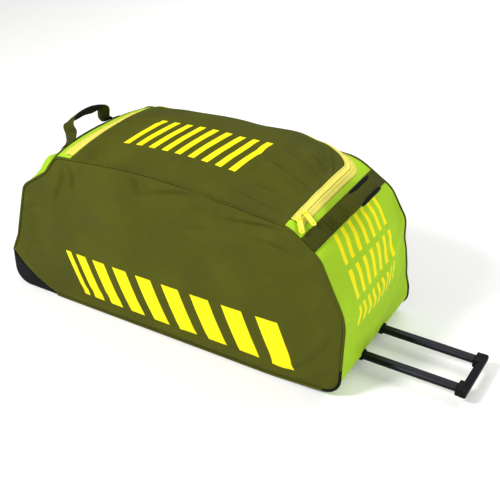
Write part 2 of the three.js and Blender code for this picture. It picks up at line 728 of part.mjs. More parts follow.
// Frames along a standing loop of webbing: flat on the strap at its feet, rising and rolling to its apex.
function loopFrames({ strapTop, toLid, tall, square, lean, twist, sag }) {
  const station = strapTop - (toLid * STRAP.width) / 2;
  const lift = GAP + STRAP.thickness + LOOP.gap + LOOP.thickness / 2;
  const rise = new THREE.Vector3(Math.sin(radians(lean)), 0, Math.cos(radians(lean)));
  const apex = tall * LOOP_RISE.at(-1).height;
  const raised = (height) => height + (sag * height * (apex - height)) / apex;
  const nearHalf = LOOP_RISE.map(({ y, height }) => ({ y: -y, height: raised(tall * height) }));
  const farHalf = LOOP_RISE.slice(0, -1).map(({ y, height }) => ({ y, height: tall * height * (1 - sag) }));
  const whole = [...nearHalf, ...farHalf.reverse()];
  const path = new THREE.CatmullRomCurve3(
    whole.map(({ y, height }) => {
      const { point, out } = hoopFrame(station, y);
      const first = Math.min(height, square);
      return point.addScaledVector(out, lift + first).addScaledVector(rise, height - first);
    }),
  );
  const reach = LOOP_RISE[0].y;
  const foot = hoop(station, reach);
  return range(STEPS.loop, 0, 1).map((share) => {
    const point = path.getPointAt(share);
    const tangent = path.getTangentAt(share);
    const height = clamp(point.clone().sub(foot).dot(rise) / apex, 0, 1);
    const across = hoopFrame(station, clamp(point.y, -reach, reach)).along;
    across.applyAxisAngle(new THREE.Vector3(0, 1, 0), radians(twist) * ramp(height));
    across.addScaledVector(tangent, -across.dot(tangent)).normalize();
    return { point, across, out: across.clone().cross(tangent).normalize() };
  });
}

const rectangle = (width, low, high) => [
  [-width / 2, low],
  [width / 2, low],
  [width / 2, high],
  [-width / 2, high],
];

function loopBand(frames) {
  return sweep(frames, rectangle(LOOP.width, -LOOP.thickness / 2, LOOP.thickness / 2));
}

// The pad under a loop's middle, with rounded edges.
function gripPad(frames, inward) {
  const near = LOOP.thickness / 2 + PAD.gap;
  const far = near + PAD.thickness;
  const round = PAD.thickness / 3;
  const half = PAD.width / 2;
  const section = [
    [-half + round, near],
    [half - round, near],
    [half, near + round],
    [half, far - round],
    [half - round, far],
    [-half + round, far],
    [-half, far - round],
    [-half, near + round],
  ];
  const middle = frames.filter((frame) => Math.abs(frame.point.y) < PAD.halfLength);
  return sweep(
    middle,
    section.map(([a, b]) => [a, inward * b]),
  );
}

// A slider on the zip, with a capped post that holds its pull by the eye.
const zipStation = lidStart - ZIP.tape - ZIP.centreGap / 2;

function zipFittings(y, slant) {
  const frame = hoopFrame(zipStation, y);
  const seat = ZIP.ridge + SLIDER.seat;
  const postBase = seat + SLIDER.height;
  const block = (x, yHalf, low, high) => box([-x / 2, x / 2], [-yHalf, yHalf], [low, high]);
  const postTop = postBase + POST.height;
  const slider = joined([
    block(SLIDER.breadth, SLIDER.length / 2, seat, postBase),
    block(POST.breadth, POST.breadth / 2, postBase - GAP, postTop),
    block(POST.cap, POST.cap / 2, postTop - GAP, postTop + POST.capHeight),
  ]);
  const tab = new THREE.Shape();
  const half = PULL.breadth / 2;
  tab.absarc(0, 0, half, Math.PI, 2 * Math.PI);
  tab.absarc(0, PULL.length - PULL.breadth, half, 0, Math.PI);
  const hole = (at, across) => new THREE.Path().absarc(0, at, across / 2, 0, 2 * Math.PI);
  tab.holes.push(hole(0, PULL.eye + GAP), hole(PULL.length - PULL.breadth, PULL.hole));
  const flat = { depth: PULL.thickness, bevelEnabled: false, curveSegments: 6 };
  const pull = new THREE.ExtrudeGeometry(tab, flat);
  pull.translate(0, 0, postBase + GAP).rotateZ(radians(180 + slant));
  const upZip = frame.along.clone();
  const sideways = upZip.clone().cross(frame.out);
  const basis = new THREE.Matrix4().makeBasis(sideways, upZip, frame.out).setPosition(frame.point);
  return { slider: slider.applyMatrix4(basis), pull: pull.applyMatrix4(basis) };
}

// A moulded wheel housing: a corner plate, and a domed well behind it that is open at the corner.
function wheelHousing(sign) {
  const { x, radius } = WHEEL;
  const { rim, bottom, top, toe, faceY, plate, backY, skin, well, dome } = HOUSING;
  const side = x - rim;
  const corner = (shape) => {
    shape.lineTo(x, bottom);
    shape.absarc(x, radius, rim, -Math.PI / 2, -Math.PI, true);
    return shape;
  };
  const face = corner(new THREE.Shape().moveTo(toe, bottom));
  face.lineTo(side, top);
  const line = sewLine(bottom, 0, side, top);
  face.quadraticCurveTo(line.v1.x, line.v1.y, toe, bottom);
  const wellStart = Math.asin((bottom - radius) / dome);
  const wellEnd = Math.PI - Math.acos(rim / dome);
  const drum = corner(new THREE.Shape().moveTo(x + dome * Math.cos(wellStart), bottom));
  drum.absarc(x, radius, dome, wellEnd, wellStart, true);
  const disc = (size, from, to) =>
    new THREE.CylinderGeometry(size, size, to - from, STEPS.wheel).translate(x, (from + to) / 2, radius);
  const body = joined([
    alongY(face, backY, faceY),
    alongY(drum, backY, faceY - plate),
  ]);
  const bored = cut(body, [
    disc(well, backY + skin, faceY - 1.5 * plate),
    disc(WHEEL.bore, backY + skin / 2, faceY - plate / 2),
  ]);
  return sign > 0 ? bored : mirroredAcross(bored);
}

// A copy on the other side of the bag, with its faces turned back outwards.
function mirroredAcross(geometry) {
  const copy = geometry.clone().scale(1, -1, 1);
  const index = [...copy.index.array];
  copy.setIndex(index.reverse());
  return copy;
}

// A ring turned about the axle, from a closed profile of radius and offset along the axle.
function turned(profile, sign) {
  const closed = [...profile, profile[0]].map(([r, along]) => new THREE.Vector2(r, along));
  const geometry = new THREE.LatheGeometry(closed, STEPS.wheel);
  const middle = sign * (WHEEL.outerY - WHEEL.width / 2 - 2 * GAP);
  return geometry.translate(WHEEL.x, middle, WHEEL.radius);
}

function tyre(sign) {
  const { radius, width } = WHEEL;
  const { depth, inset, shoulder } = TYRE;
  const half = width / 2 - inset;
  const profile = [
    [radius - depth, -half],
    [radius - shoulder, -half],
    [radius, -half + shoulder],
    [radius, half - shoulder],
    [radius - shoulder, half],
    [radius - depth, half],
  ];
  return turned(profile, sign);
}

function hub(sign) {
  const { radius, width, bore } = WHEEL;
  const { radius: hubRadius, web, rim, rimInset } = HUB;
  const half = width / 2;
  const rimOut = radius - TYRE.depth - GAP;
  const rimIn = rimOut - rim;
  const edge = half - rimInset;
  const profile = [
    [bore, -half],
    [hubRadius, -half],
    [hubRadius, -web],
    [rimIn, -web],
    [rimIn, -edge],
    [rimOut, -edge],
    [rimOut, edge],
    [rimIn, edge],
    [rimIn, web],
    [hubRadius, web],
    [hubRadius, half],
    [bore, half],
  ];
  return turned(profile, sign);
}

function axle(sign) {
  const { faceY, plate, backY, skin } = HOUSING;
  const [from, to] = [backY + skin / 2 + GAP, faceY - plate / 2 - GAP];
  const geometry = new THREE.CylinderGeometry(AXLE_RADIUS, AXLE_RADIUS, to - from, STEPS.wheel);
  return geometry.translate(WHEEL.x, (sign * (from + to)) / 2, WHEEL.radius);
}

// An eight-sided outline of a flat tube.
function tubeShape(width, height, chamfer, Outline = THREE.Shape) {
  const [w, h] = [width / 2, height / 2];
  return new Outline()
    .moveTo(-w, -h + chamfer)
    .lineTo(-w + chamfer, -h)
    .lineTo(w - chamfer, -h)
    .lineTo(w, -h + chamfer)
    .lineTo(w, h - chamfer)
    .lineTo(w - chamfer, h)
    .lineTo(-w + chamfer, h)
    .lineTo(-w, h - chamfer)
    .closePath();
}

// A tube section extruded along X between two values, at the height of the trolley.
function alongX(shape, from, to, y) {
  const geometry = new THREE.ExtrudeGeometry(shape, { depth: to - from, bevelEnabled: false });
  return geometry.rotateX(Math.PI / 2).rotateZ(Math.PI / 2).translate(from, y, TROLLEY.z);
}

function trolleyTube(y) {
  const { width, height, chamfer, wall: skin, inner, outer } = TUBE;
  const shape = tubeShape(width, height, chamfer);
  shape.holes.push(tubeShape(width - 2 * skin, height - 2 * skin, chamfer - skin / 2, THREE.Path));
  return alongX(shape, inner, outer, y);
}

const sleeveWidth = TUBE.width + 2 * (TROLLEY.travelClear + SLEEVE.wall);
const sleeveHeight = TUBE.height + 2 * (TROLLEY.travelClear + SLEEVE.wall);

// A runner for one tube, on feet that stand on the base.
function trolleySleeve(y) {
  const clear = 2 * TROLLEY.travelClear;
  const shape = tubeShape(sleeveWidth, sleeveHeight, TUBE.chamfer);
  const bore = tubeShape(TUBE.width + clear, TUBE.height + clear, TUBE.chamfer, THREE.Path);
  shape.holes.push(bore);
  const bottom = TROLLEY.z - sleeveHeight / 2;
  const foot = (x) =>
    box(
      [x, x + SLEEVE.footLength],
      [y - sleeveWidth / 2 + TUBE.chamfer, y + sleeveWidth / 2 - TUBE.chamfer],
      [BASE.thickness + GAP, bottom + SLEEVE.wall / 2],
    );
  return joined([alongX(shape, SLEEVE.inner, SLEEVE.outer, y), ...SLEEVE.feet.map(foot)]);
}

function roundedRectangle(x, z, round) {
  const [left, right] = x;
  const [low, high] = z;
  const shape = new THREE.Shape();
  shape.absarc(right - round, high - round, round, 0, Math.PI / 2);
  shape.absarc(left + round, high - round, round, Math.PI / 2, Math.PI);
  shape.absarc(left + round, low + round, round, Math.PI, 1.5 * Math.PI);
  shape.absarc(right - round, low + round, round, 1.5 * Math.PI, 2 * Math.PI);
  return shape;
}

// The pull handle's grip: a round-edged bar between two sockets on the tubes.
function trolleyGrip() {
  const { barX, barDepth, barHeight, halfLength, round } = GRIP;
  const across = [barX - barDepth / 2, barX + barDepth / 2];
  const bar = roundedRectangle(across, [TROLLEY.z - barHeight / 2, TROLLEY.z + barHeight / 2], round);
  const reach = [SOCKET.inner, barX];
  const tall = [TROLLEY.z - SOCKET.height / 2, TROLLEY.z + SOCKET.height / 2];
  const block = roundedRectangle(reach, tall, SOCKET.round);
  const half = SOCKET.width / 2;
  const sockets = sides.map(({ sign }) =>
    alongY(block, sign * TROLLEY.y - half, sign * TROLLEY.y + half, { curveSegments: 3 }),
  );
  return joined([alongY(bar, -halfLength, halfLength, { curveSegments: 4 }), ...sockets]);
}

function endPanelHandle() {
  const [w, h] = [sleeveWidth / 2 + GAP, sleeveHeight / 2 + GAP];
  const openings = sides.map(({ sign }) => {
    const y = sign * TROLLEY.y;
    return box([SLEEVE.inner, GRIP.barX], [y - w, y + w], [TROLLEY.z - h, TROLLEY.z + h]);
  });
  return cut(endPanel(ENDS.handle_end), openings);
}

const beadTurn = handleEndZ(CORNER_BEAD_TOP);

sides.forEach(({ side, sign }) => {
  add(`side_panel_${side}`, sidePanel(sign), FINISH.oliveCloth);
  add(`piping_${side}`, bead(sign, beadTurn + GAP / 2, endLower), FINISH.oliveCloth);
  add(`corner_bead_${side}`, bead(sign, heelStart, beadTurn - GAP / 2), FINISH.plastic);
  add(`base_piping_${side}`, bead(sign, baseStart, baseEnd), FINISH.oliveCloth);
});

add("lid_panel", lidPanel(), FINISH.oliveCloth);
add("lid_border", lidBorder(), FINISH.limeCloth);
add("end_panel_handle", endPanelHandle(), FINISH.limeCloth);
add("end_panel_wheel", endPanel(ENDS.wheel_end), FINISH.limeCloth);
add("base_panel", basePanel(), FINISH.blackCloth);
add("wheel_end_skirt", wheelEndSkirt(), FINISH.blackCloth);
add("zip_tape_lid", zipTape(GAP, ZIP.tape), FINISH.zipTape);
add("zip_tape_frame", zipTape(zipWidth, ZIP.tape + ZIP.centreGap), FINISH.zipTape);

Object.entries(ENDS).forEach(([name, end]) => {
  const frames = loopFrames(end);
  const apex = frames[STEPS.loop / 2];
  const inward = Math.sign(hoop(end.strapTop, 0).sub(apex.point).dot(apex.out));
  add(`strap_${name}`, strap(end), FINISH.oliveCloth);
  add(`grab_handle_${name}`, loopBand(frames), FINISH.oliveCloth);
  add(`grip_pad_${name}`, gripPad(frames, inward), FINISH.blackCloth);
});

Object.entries(SLIDER_Y).forEach(([key, y]) => {
  const { slider, pull } = zipFittings(y, PULL.slant[key]);
  add(`zip_slider_${key}`, slider, FINISH.zipEnamel);
  add(`zip_pull_${key}`, pull, FINISH.zipEnamel);
});

sides.forEach(({ side, sign }) => {
  const y = sign * TROLLEY.y;
  add(`wheel_housing_${side}`, wheelHousing(sign), FINISH.plastic);
  add(`wheel_tyre_${side}`, tyre(sign), FINISH.rubber);
  add(`wheel_hub_${side}`, hub(sign), FINISH.plastic);
  add(`axle_${side}`, axle(sign), FINISH.steel);
  add(`trolley_sleeve_${side}`, trolleySleeve(y), FINISH.plastic);
  add(`trolley_tube_${side}`, trolleyTube(y), FINISH.tube);
});
add("trolley_grip", trolleyGrip(), FINISH.plastic);

export default bag;
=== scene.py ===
import json
import math
from collections import namedtuple
from contextlib import contextmanager

import bmesh
import bpy
import numpy as np
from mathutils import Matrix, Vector, noise

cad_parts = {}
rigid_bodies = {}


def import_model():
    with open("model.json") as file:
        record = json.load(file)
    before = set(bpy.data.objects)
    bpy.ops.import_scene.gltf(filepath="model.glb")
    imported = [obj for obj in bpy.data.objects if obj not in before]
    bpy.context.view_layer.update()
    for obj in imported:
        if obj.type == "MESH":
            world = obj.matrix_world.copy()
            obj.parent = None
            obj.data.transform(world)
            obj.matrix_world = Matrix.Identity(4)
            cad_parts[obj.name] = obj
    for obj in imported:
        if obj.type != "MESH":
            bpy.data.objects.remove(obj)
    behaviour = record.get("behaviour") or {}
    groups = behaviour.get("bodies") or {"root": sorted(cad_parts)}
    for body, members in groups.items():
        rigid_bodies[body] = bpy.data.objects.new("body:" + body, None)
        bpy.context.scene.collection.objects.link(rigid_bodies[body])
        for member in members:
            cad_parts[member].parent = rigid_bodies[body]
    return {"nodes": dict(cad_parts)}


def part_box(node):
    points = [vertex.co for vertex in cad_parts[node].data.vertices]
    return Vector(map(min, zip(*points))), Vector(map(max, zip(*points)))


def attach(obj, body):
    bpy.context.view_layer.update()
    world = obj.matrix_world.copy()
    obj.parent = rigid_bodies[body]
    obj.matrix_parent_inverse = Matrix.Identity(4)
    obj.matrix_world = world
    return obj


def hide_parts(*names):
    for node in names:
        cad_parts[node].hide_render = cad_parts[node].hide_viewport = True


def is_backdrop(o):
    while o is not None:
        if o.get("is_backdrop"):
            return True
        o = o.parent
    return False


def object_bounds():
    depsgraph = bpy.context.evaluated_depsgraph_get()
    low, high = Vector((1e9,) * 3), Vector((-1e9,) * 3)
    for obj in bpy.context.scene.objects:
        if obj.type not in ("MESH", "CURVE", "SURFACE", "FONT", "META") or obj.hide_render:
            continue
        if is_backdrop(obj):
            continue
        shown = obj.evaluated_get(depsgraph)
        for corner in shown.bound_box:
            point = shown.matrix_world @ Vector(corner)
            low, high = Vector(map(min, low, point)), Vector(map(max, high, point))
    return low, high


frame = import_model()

bl_info = {
    "name": "Wheeled Kit Bag",
    "version": (1, 0, 0),
    "blender": (4, 5, 0),
    "location": "View3D > Sidebar > Kit Bag",
    "description": "Builds the cloth, trim, fittings and stage of a soft wheeled kit bag",
    "category": "Add Mesh",
}

CAD_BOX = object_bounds()
MM = 0.001

Corner = namedtuple("Corner", "at x z radius out")
FarSeam = namedtuple("FarSeam", "on place along above")
Dome = namedtuple("Dome", "place height")
Fold = namedtuple("Fold", "on place across_at along across turn depth")
Rise = namedtuple("Rise", "y height")
Pose = namedtuple("Pose", "tall square lean twist sag")

# Side view of the seam round a side panel, with how far the hoop across it swells out at each corner.
SIDE_OUTLINE = (
    Corner("wheel_heel", -474, 3.5, 46, 0),
    Corner("base_rise", 300, 3.5, 600, 0),
    Corner("handle_heel", 476, 16, 44, -3),
    Corner("handle_waist", 476, 214, 120, 9),
    Corner("handle_shoulder", 403, 346, 70, 17),
    Corner("lid_handle_edge", 321, 402, 90, 15),
    Corner("lid_crown", -40, 430, 1500, 18),
    Corner("lid_wheel_edge", -312, 402, 30, 16),
    Corner("wheel_tuck", -346, 352, 30, 30),
    Corner("wheel_shoulder", -417, 300, 40, 26),
    Corner("wheel_hollow", -449, 150, 90, 12),
    Corner("wheel_waist", -474, 92, 60, 8),
)
# How far the far seam lies along X and above the near one; place is X on the lid and Z on the ends.
FAR_SEAM = (
    FarSeam("handle_end", 70, 0, 0),
    FarSeam("handle_end", 125, -9, 0),
    FarSeam("handle_end", 210, -15, 0),
    FarSeam("handle_end", 285, 13, 5),
    FarSeam("handle_end", 346, 13, 9),
    FarSeam("lid", 300, 8, 11),
    FarSeam("lid", 190, 0, 7),
    FarSeam("lid", 60, 0, -9),
    FarSeam("lid", -120, 0, -17),
    FarSeam("lid", -300, 32, 1),
    FarSeam("wheel_end", 352, 18, 6),
    FarSeam("wheel_end", 280, 0, 0),
)
LID_DOME = (
    Dome(318, 0),
    Dome(240, 38),
    Dome(190, 48),
    Dome(60, 46),
    Dome(-120, 42),
    Dome(-220, 30),
    Dome(-300, 0),
)
# The crest's rise from the near seam, as a share of the half width, and the power of its far fall.
CREST_RISE = 1.4
CREST_FALL = 6
# Broad dents: on a side by X and Z, on the lid by X and Y, on an end by Z and Y.
DENTS = (
    Fold("side", -284, 345, 62, 24, 84, 9),
    Fold("side", -398, 205, 70, 38, 72, 7),
    Fold("side", 215, 356, 120, 24, -10, 6),
    Fold("side", 392, 250, 80, 34, -62, 5),
    Fold("side", -70, 300, 230, 40, 3, 4),
    Fold("lid", 236, -74, 92, 20, 4, 5),
    Fold("lid", 222, -8, 110, 22, -3, 4),
    Fold("lid", -60, 20, 190, 70, 0, 5),
    Fold("handle_end", 312, -66, 32, 46, 10, 6),
    Fold("wheel_end", 240, 30, 60, 60, 0, 6),
)
# Pinched folds: a valley with a raised shoulder on either side, placed as the dents are.
# A negative depth is a roll of cloth between two valleys.
CREASES = (
    Fold("side", -262, 352, 40, 12, 100, 8.0),
    Fold("side", -304, 316, 42, 12, 72, 4.6),
    Fold("side", -74, 388, 28, 12, -52, 7.6),
    Fold("side", 26, 392, 84, 16, 14, 8.4),
    Fold("side", 230, 376, 76, 13, 6, 8.0),
    Fold("side", 292, 342, 64, 13, -8, 5.0),
    Fold("side", 100, 332, 60, 17, 13, 4.4),
    Fold("side", 287, 270, 24, 10, 14, 3.4),
    Fold("side", -392, 138, 38, 14, 5, 4.4),
    Fold("side", -408, 236, 48, 14, 24, 4.0),
    Fold("side", 442, 150, 40, 9, 84, 2.0),
    Fold("side", -210, 60, 90, 12, 4, 1.4),
    Fold("side", 160, 44, 110, 12, -2, 1.4),
    Fold("lid", 214, -120, 82, 11, 6, 6.8),
    Fold("lid", 232, -82, 60, 10, 3, 5.0),
    Fold("lid", 225, -14, 70, 12, 11, 6.8),
    Fold("lid", 240, 32, 60, 11, 8, 5.4),
    Fold("lid", 231, -154, 42, 10, 11, 5.4),
    Fold("lid", 268, -100, 34, 7, 5, 4.2),
    Fold("lid", 262, -48, 44, 8, 7, 4.6),
    Fold("lid", 272, 62, 30, 8, 10, 4.0),
    Fold("lid", -234, -126, 32, 15, 60, 6.4),
    Fold("lid", -200, 20, 70, 12, -8, 4.4),
    Fold("handle_end", 300, 84, 40, 9, 24, 2.6),
    Fold("handle_end", 250, -96, 52, 9, -18, 2.4),
    Fold("handle_end", 190, 120, 60, 10, 10, 2.4),
    Fold("handle_end", 96, -40, 46, 10, 70, 2.0),
    Fold("handle_end", 110, 96, 50, 10, -64, 2.2),
    Fold("wheel_end", 282, -90, 40, 9, 22, 2.6),
    Fold("wheel_end", 200, 84, 56, 10, -20, 2.6),
    Fold("wheel_end", 150, -60, 60, 10, 12, 2.2),
    Fold("wheel_end", 338, -126, 28, 40, 0, -17),
)

BULGES = (
    Fold("side", -150, 300, 84, 42, 4, -17),
    Fold("side", 205, 336, 90, 32, 8, -11),
)
HALF_WIDTH_BASE = 196
HALF_WIDTH_LID = 170
LID_HEIGHT = 400
TAPER_POWER = 1.6
HOOP_PILLOW = 2.4
SIDE_PILLOW = 2.6
SIDE_FULLNESS = 20
FOLD_REACH = 3
MIDDLE = np.array((0, 0, 200))
GAP = 0.5
SEAM_INSET = 3.6
BEAD_RADIUS = 3
CREASE_BEAD_RADIUS = 1.9
CORNER_BEAD_TOP = 85
FLOOR_LIFT = 3.5
# Mesh fineness of the panels with many folds and of the flat base, as a multiple of the rest.
SIDE_FINENESS = 1.17
LID_FINENESS = 1.5
BASE_FINENESS = 0.6
BASE_WHEEL_EDGE = -335
BASE_RAMP = 30
# Height of a pinched fold's shoulders, and the mesh rows over which a fold fades out at a sheet's edges.
SHOULDER = 1.6
FADE_ROWS = 2

LID_HANDLE_EDGE = 312
LID_WHEEL_EDGE = -270
LID_FAR_EDGE = 134
LID_CORNER = 34
FAR_SLOPE = 0.78
ZIP_TAPE = 15
ZIP_GAP = 0.6
ZIP_RIDGE = 1.6
ZIP_HANDLE_Y = -143
ZIP_WHEEL_Y = -154

STRAP_WIDTH = 42
STRAP_HANDLE_X = 352
STRAP_WHEEL_X = -319
LOOP_RISE = (Rise(94, 0), Rise(78, 0), Rise(67, 4), Rise(61, 17), Rise(60, 46), Rise(45, 60), Rise(0, 64))
LOOP_POSE = {"handle_end": Pose(1, 17, 40, 0, 0), "wheel_end": Pose(0.88, 10, -4, -8, 0.15)}
LOOP_STEPS = 96
STRAP_COLUMNS = 90
PATH_STEPS = 600
PAD_HALF_LENGTH = 46
PAD_WIDTH = 46

HOUSING_TOP = 97
HOUSING_BACK_Y = 130
HOUSING_TOE = -338
SEW_LINE_X = -425
SEW_LINE_Z = 38
SEW_GAP = 1.1
SEW_STEPS = 200
BEAD_SIDES = 12
LEAST_CORNER_STEPS = 6

# Columns and rows of an end panel: the tab beside the zip, the zip's corner, and the cloth above the strap.
TAB_COLUMNS = 5
FRAME_CORNER_STEPS = 16
ROWS_OVER_STRAP = 9
UNDER_STRAP = (-1, STRAP_WIDTH + 4)

# Points this close are one point. Flat faces are joined, and edges rounded or kept sharp, by angle.
WELD = 0.01
PACKED_WELD = 0.02
FLAT_ANGLE = 2
ROUNDED_ANGLE = 32
SHARP_ANGLE = 45
BAND_SHARP_ANGLE = 50
HALVINGS = 40


def linear(colour):
    """Turns an sRGB hex colour into linear RGB."""
    channels = [int(colour[i : i + 2], 16) / 255 for i in (0, 2, 4)]
    return [c / 12.92 if c <= 0.04045 else ((c + 0.055) / 1.055) ** 2.4 for c in channels]


def length_property(label, description, millimetres):
    return bpy.props.FloatProperty(
        name=label, description=description, default=millimetres * MM, unit="LENGTH", precision=4
    )


def colour_property(label, description, colour):
    return bpy.props.FloatVectorProperty(
        name=label, description=description, default=linear(colour), subtype="COLOR", min=0, max=1
    )


class KitBagSizes(bpy.types.PropertyGroup):
    """Sizes of cloth, thread and trim."""

    cloth: length_property("Cloth", "Thickness of the coated cloth", 1.6)
    webbing: length_property("Webbing", "Thickness of straps and loops", 1.8)
    tape: length_property("Zip tape", "Thickness of the zip's tape", 1.2)
    mesh_step: length_property("Mesh step", "Distance between the points of a cloth panel", 7)
    stitch: length_property("Stitch", "Distance from one stitch to the next", 4.5)
    thread: length_property("Thread", "Thickness of the sewing thread", 0.8)
    weave: length_property(
        "Weave", "Distance between threads of the cloth, drawn coarse so that it shows", 1.5
    )
    swell: bpy.props.FloatProperty(
        name="Slack", description="Spare cloth between the seams, as a share", default=0.008, min=0, max=0.05
    )


class KitBagColours(bpy.types.PropertyGroup):
    """Colours of the bag's materials."""

    olive: colour_property("Olive", "Sides, lid and webbing", "4c4f11")
    lime: colour_property("Lime", "Ends and lid border", "aad22a")
    tape: colour_property("Zip tape", "Both halves of the zip", "efe45c")
    enamel: colour_property("Zip pulls", "Sliders and pulls", "f4ea1c")
    printed: colour_property("Print", "Bars on sides, lid and ends", "ffee1c")
    black: colour_property("Black", "Base, pads and plastic", "0c0d10")


class KitBagStage(bpy.types.PropertyGroup):
    """Floor, light and camera."""

    floor: colour_property("Floor", "Colour of the floor", "f8f8f7")
    lens: bpy.props.FloatProperty(name="Lens", description="Focal length", default=72.65, unit="CAMERA")
    azimuth: bpy.props.FloatProperty(
        name="Azimuth", description="Camera's turn round the bag", default=0.525, subtype="ANGLE"
    )
    elevation: bpy.props.FloatProperty(
        name="Elevation", description="Camera's height angle", default=0.581, subtype="ANGLE"
    )
    distance: length_property("Distance", "From the camera to its target", 2478.9)
    target: bpy.props.FloatVectorProperty(
        name="Target",
        description="Point that the camera looks at",
        default=(0.1297, 0, 0.1833),
        subtype="XYZ",
    )


# The seam, the hoop across it, and the places on them


class Outline:
    """A closed loop of arcs and lines, followed by a station along it."""

    def __init__(self, corners):
        count = len(corners)
        following = corners[1:] + corners[:1]
        steps = [(after.x - corner.x, after.z - corner.z) for corner, after in zip(corners, following)]
        headings = [math.atan2(dz, dx) for dx, dz in steps]
        lengths = [math.hypot(dx, dz) for dx, dz in steps]
        turns = [math.remainder(headings[i] - headings[i - 1], math.tau) for i in range(count)]
        trims = [c.radius * math.tan(abs(turn) / 2) for c, turn in zip(corners, turns)]
        runs = []
        self.start, self.middle, self.end = {}, {}, {}
        station = 0
        for i, corner in enumerate(corners):
            into, heading, trim = headings[i - 1], headings[i], trims[i]
            arc = corner.radius * abs(turns[i])
            bend = math.copysign(1 / corner.radius, turns[i])
            x, z = corner.x - trim * math.cos(into), corner.z - trim * math.sin(into)
            runs.append((station, x, z, into, bend))
            self.start[corner.at] = station
            self.middle[corner.at] = station + arc / 2
            self.end[corner.at] = station + arc
            station += arc
            x, z = corner.x + trim * math.cos(heading), corner.z + trim * math.sin(heading)
            runs.append((station, x, z, heading, 0))
            station += lengths[i] - trim - trims[(i + 1) % count]
        self.total = station
        self.runs = np.array(runs)

    def at(self, station):
        """X, Z and heading at a station, or at an array of them."""
        wrapped = np.mod(station, self.total)
        found = self.runs[np.searchsorted(self.runs[:, 0], wrapped, side="right") - 1]
        first, x, z, heading, bend = np.moveaxis(found, -1, 0)
        along = wrapped - first
        now = heading + bend * along
        safe = np.where(bend == 0, 1, bend)
        dx = np.where(bend == 0, along * np.cos(heading), (np.sin(now) - np.sin(heading)) / safe)
        dz = np.where(bend == 0, along * np.sin(heading), (np.cos(heading) - np.cos(now)) / safe)
        return x + dx, z + dz, now

    def where(self, axis, value, low, high):
        """The station between two others where X (axis 0) or Z (axis 1) has a value."""
        rising = self.at(high)[axis] > self.at(low)[axis]
        for _ in range(HALVINGS):
            middle = (low + high) / 2
            if (self.at(middle)[axis] < value) == rising:
                low = middle
            else:
                high = middle
        return low


outline = Outline(SIDE_OUTLINE)


def station_on(on, place):
    """The station of an X on the lid, or of a Z on an end."""
    if on == "lid":
        return outline.where(0, place, outline.start["lid_handle_edge"], outline.end["lid_wheel_edge"])
    if on == "handle_end":
        return outline.where(1, place, outline.end["handle_heel"], outline.start["lid_handle_edge"])
    return outline.where(1, place, outline.end["lid_wheel_edge"], outline.total)


def smooth(share):
    return share * share * (3 - 2 * share)


def eased(station, marks, values):
    """Values at marks along the outline, eased in between."""
    marks, values = np.asarray(marks, float), np.asarray(values, float)
    i = np.clip(np.searchsorted(marks, station) - 1, 0, len(marks) - 2)
    share = np.clip((station - marks[i]) / (marks[i + 1] - marks[i]), 0, 1)
    return values[i] + (values[i + 1] - values[i]) * smooth(share)


DOME_MARKS = [station_on("lid", row.place) for row in LID_DOME]
FAR_MARKS = [station_on(row.on, row.place) for row in FAR_SEAM]
SWELL_MARKS = [outline.middle[corner.at] for corner in SIDE_OUTLINE]


def hollow_at(fold, a, b):
    """A fold's depth at distances a and b from its middle, and how far across it they lie."""
    turn = math.radians(fold.turn)
    along = (a * math.cos(turn) + b * math.sin(turn)) / fold.along
    across = (b * math.cos(turn) - a * math.sin(turn)) / fold.across
    return fold.depth * np.exp(-along * along - across * across), across


def dent(fold, a, b):
    """A smooth hollow."""
    return hollow_at(fold, a, b)[0]


def crease(fold, a, b):
    """A pinched valley between two raised shoulders."""
    depth, across = hollow_at(fold, a, b)
    return depth * (1 - SHOULDER * across * across)


HOOP_FOLDS = [
    (station_on(fold.on, fold.place), fold, shape)
    for table, shape in ((DENTS, dent), (CREASES, crease))
    for fold in table
    if fold.on != "side"
]


def half_width(z):
    share = np.maximum(z, 0) / LID_HEIGHT
    return HALF_WIDTH_BASE - (HALF_WIDTH_BASE - HALF_WIDTH_LID) * share**TAPER_POWER


def pillow(share, power):
    return 1 - np.abs(share) ** power


def crest(share):
    """The lid's dome across the bag: a slow rise from the near seam, and a steep fall to the far one."""
    rise = np.clip((share + 1) / CREST_RISE, 0, 1)
    return smooth(rise) * pillow(np.maximum(0, share), CREST_FALL)


def hoop(station, y, creased=True):
    """Points of the hoop of base, ends and lid, by station and Y."""
    station, y = np.broadcast_arrays(np.mod(np.asarray(station, float), outline.total), np.asarray(y, float))
    x, z, heading = outline.at(station)
    share = np.clip(y / half_width(z), -1, 1)
    swell = pillow(share, HOOP_PILLOW)
    hollow = sum(
        shape(fold, station - mark, y - fold.across_at)
        for mark, fold, shape in HOOP_FOLDS
        if creased or shape is dent
    )
    out = eased(station, SWELL_MARKS, [c.out for c in SIDE_OUTLINE]) * swell
    out = out - hollow * np.minimum(1, FOLD_REACH * swell)
    out = out + eased(station, DOME_MARKS, [row.height for row in LID_DOME]) * crest(share)
    farness = (share + 1) / 2
    x = x + out * np.sin(heading) + farness * eased(station, FAR_MARKS, [row.along for row in FAR_SEAM])
    z = z - out * np.cos(heading) + farness * eased(station, FAR_MARKS, [row.above for row in FAR_SEAM])
    return np.stack([x, y, z], axis=-1)


def unit(vectors):
    return vectors / np.linalg.norm(vectors, axis=-1, keepdims=True)


def run_of(points):
    """The distance along a line of points, at each of them."""
    return np.concatenate([[0], np.cumsum(np.linalg.norm(np.diff(points, axis=0), axis=1))])


def places_along(distances, run, values):
    """Values given at the points of a line, at distances along it."""
    return np.stack([np.interp(distances, run, values[:, k]) for k in range(3)], axis=-1)


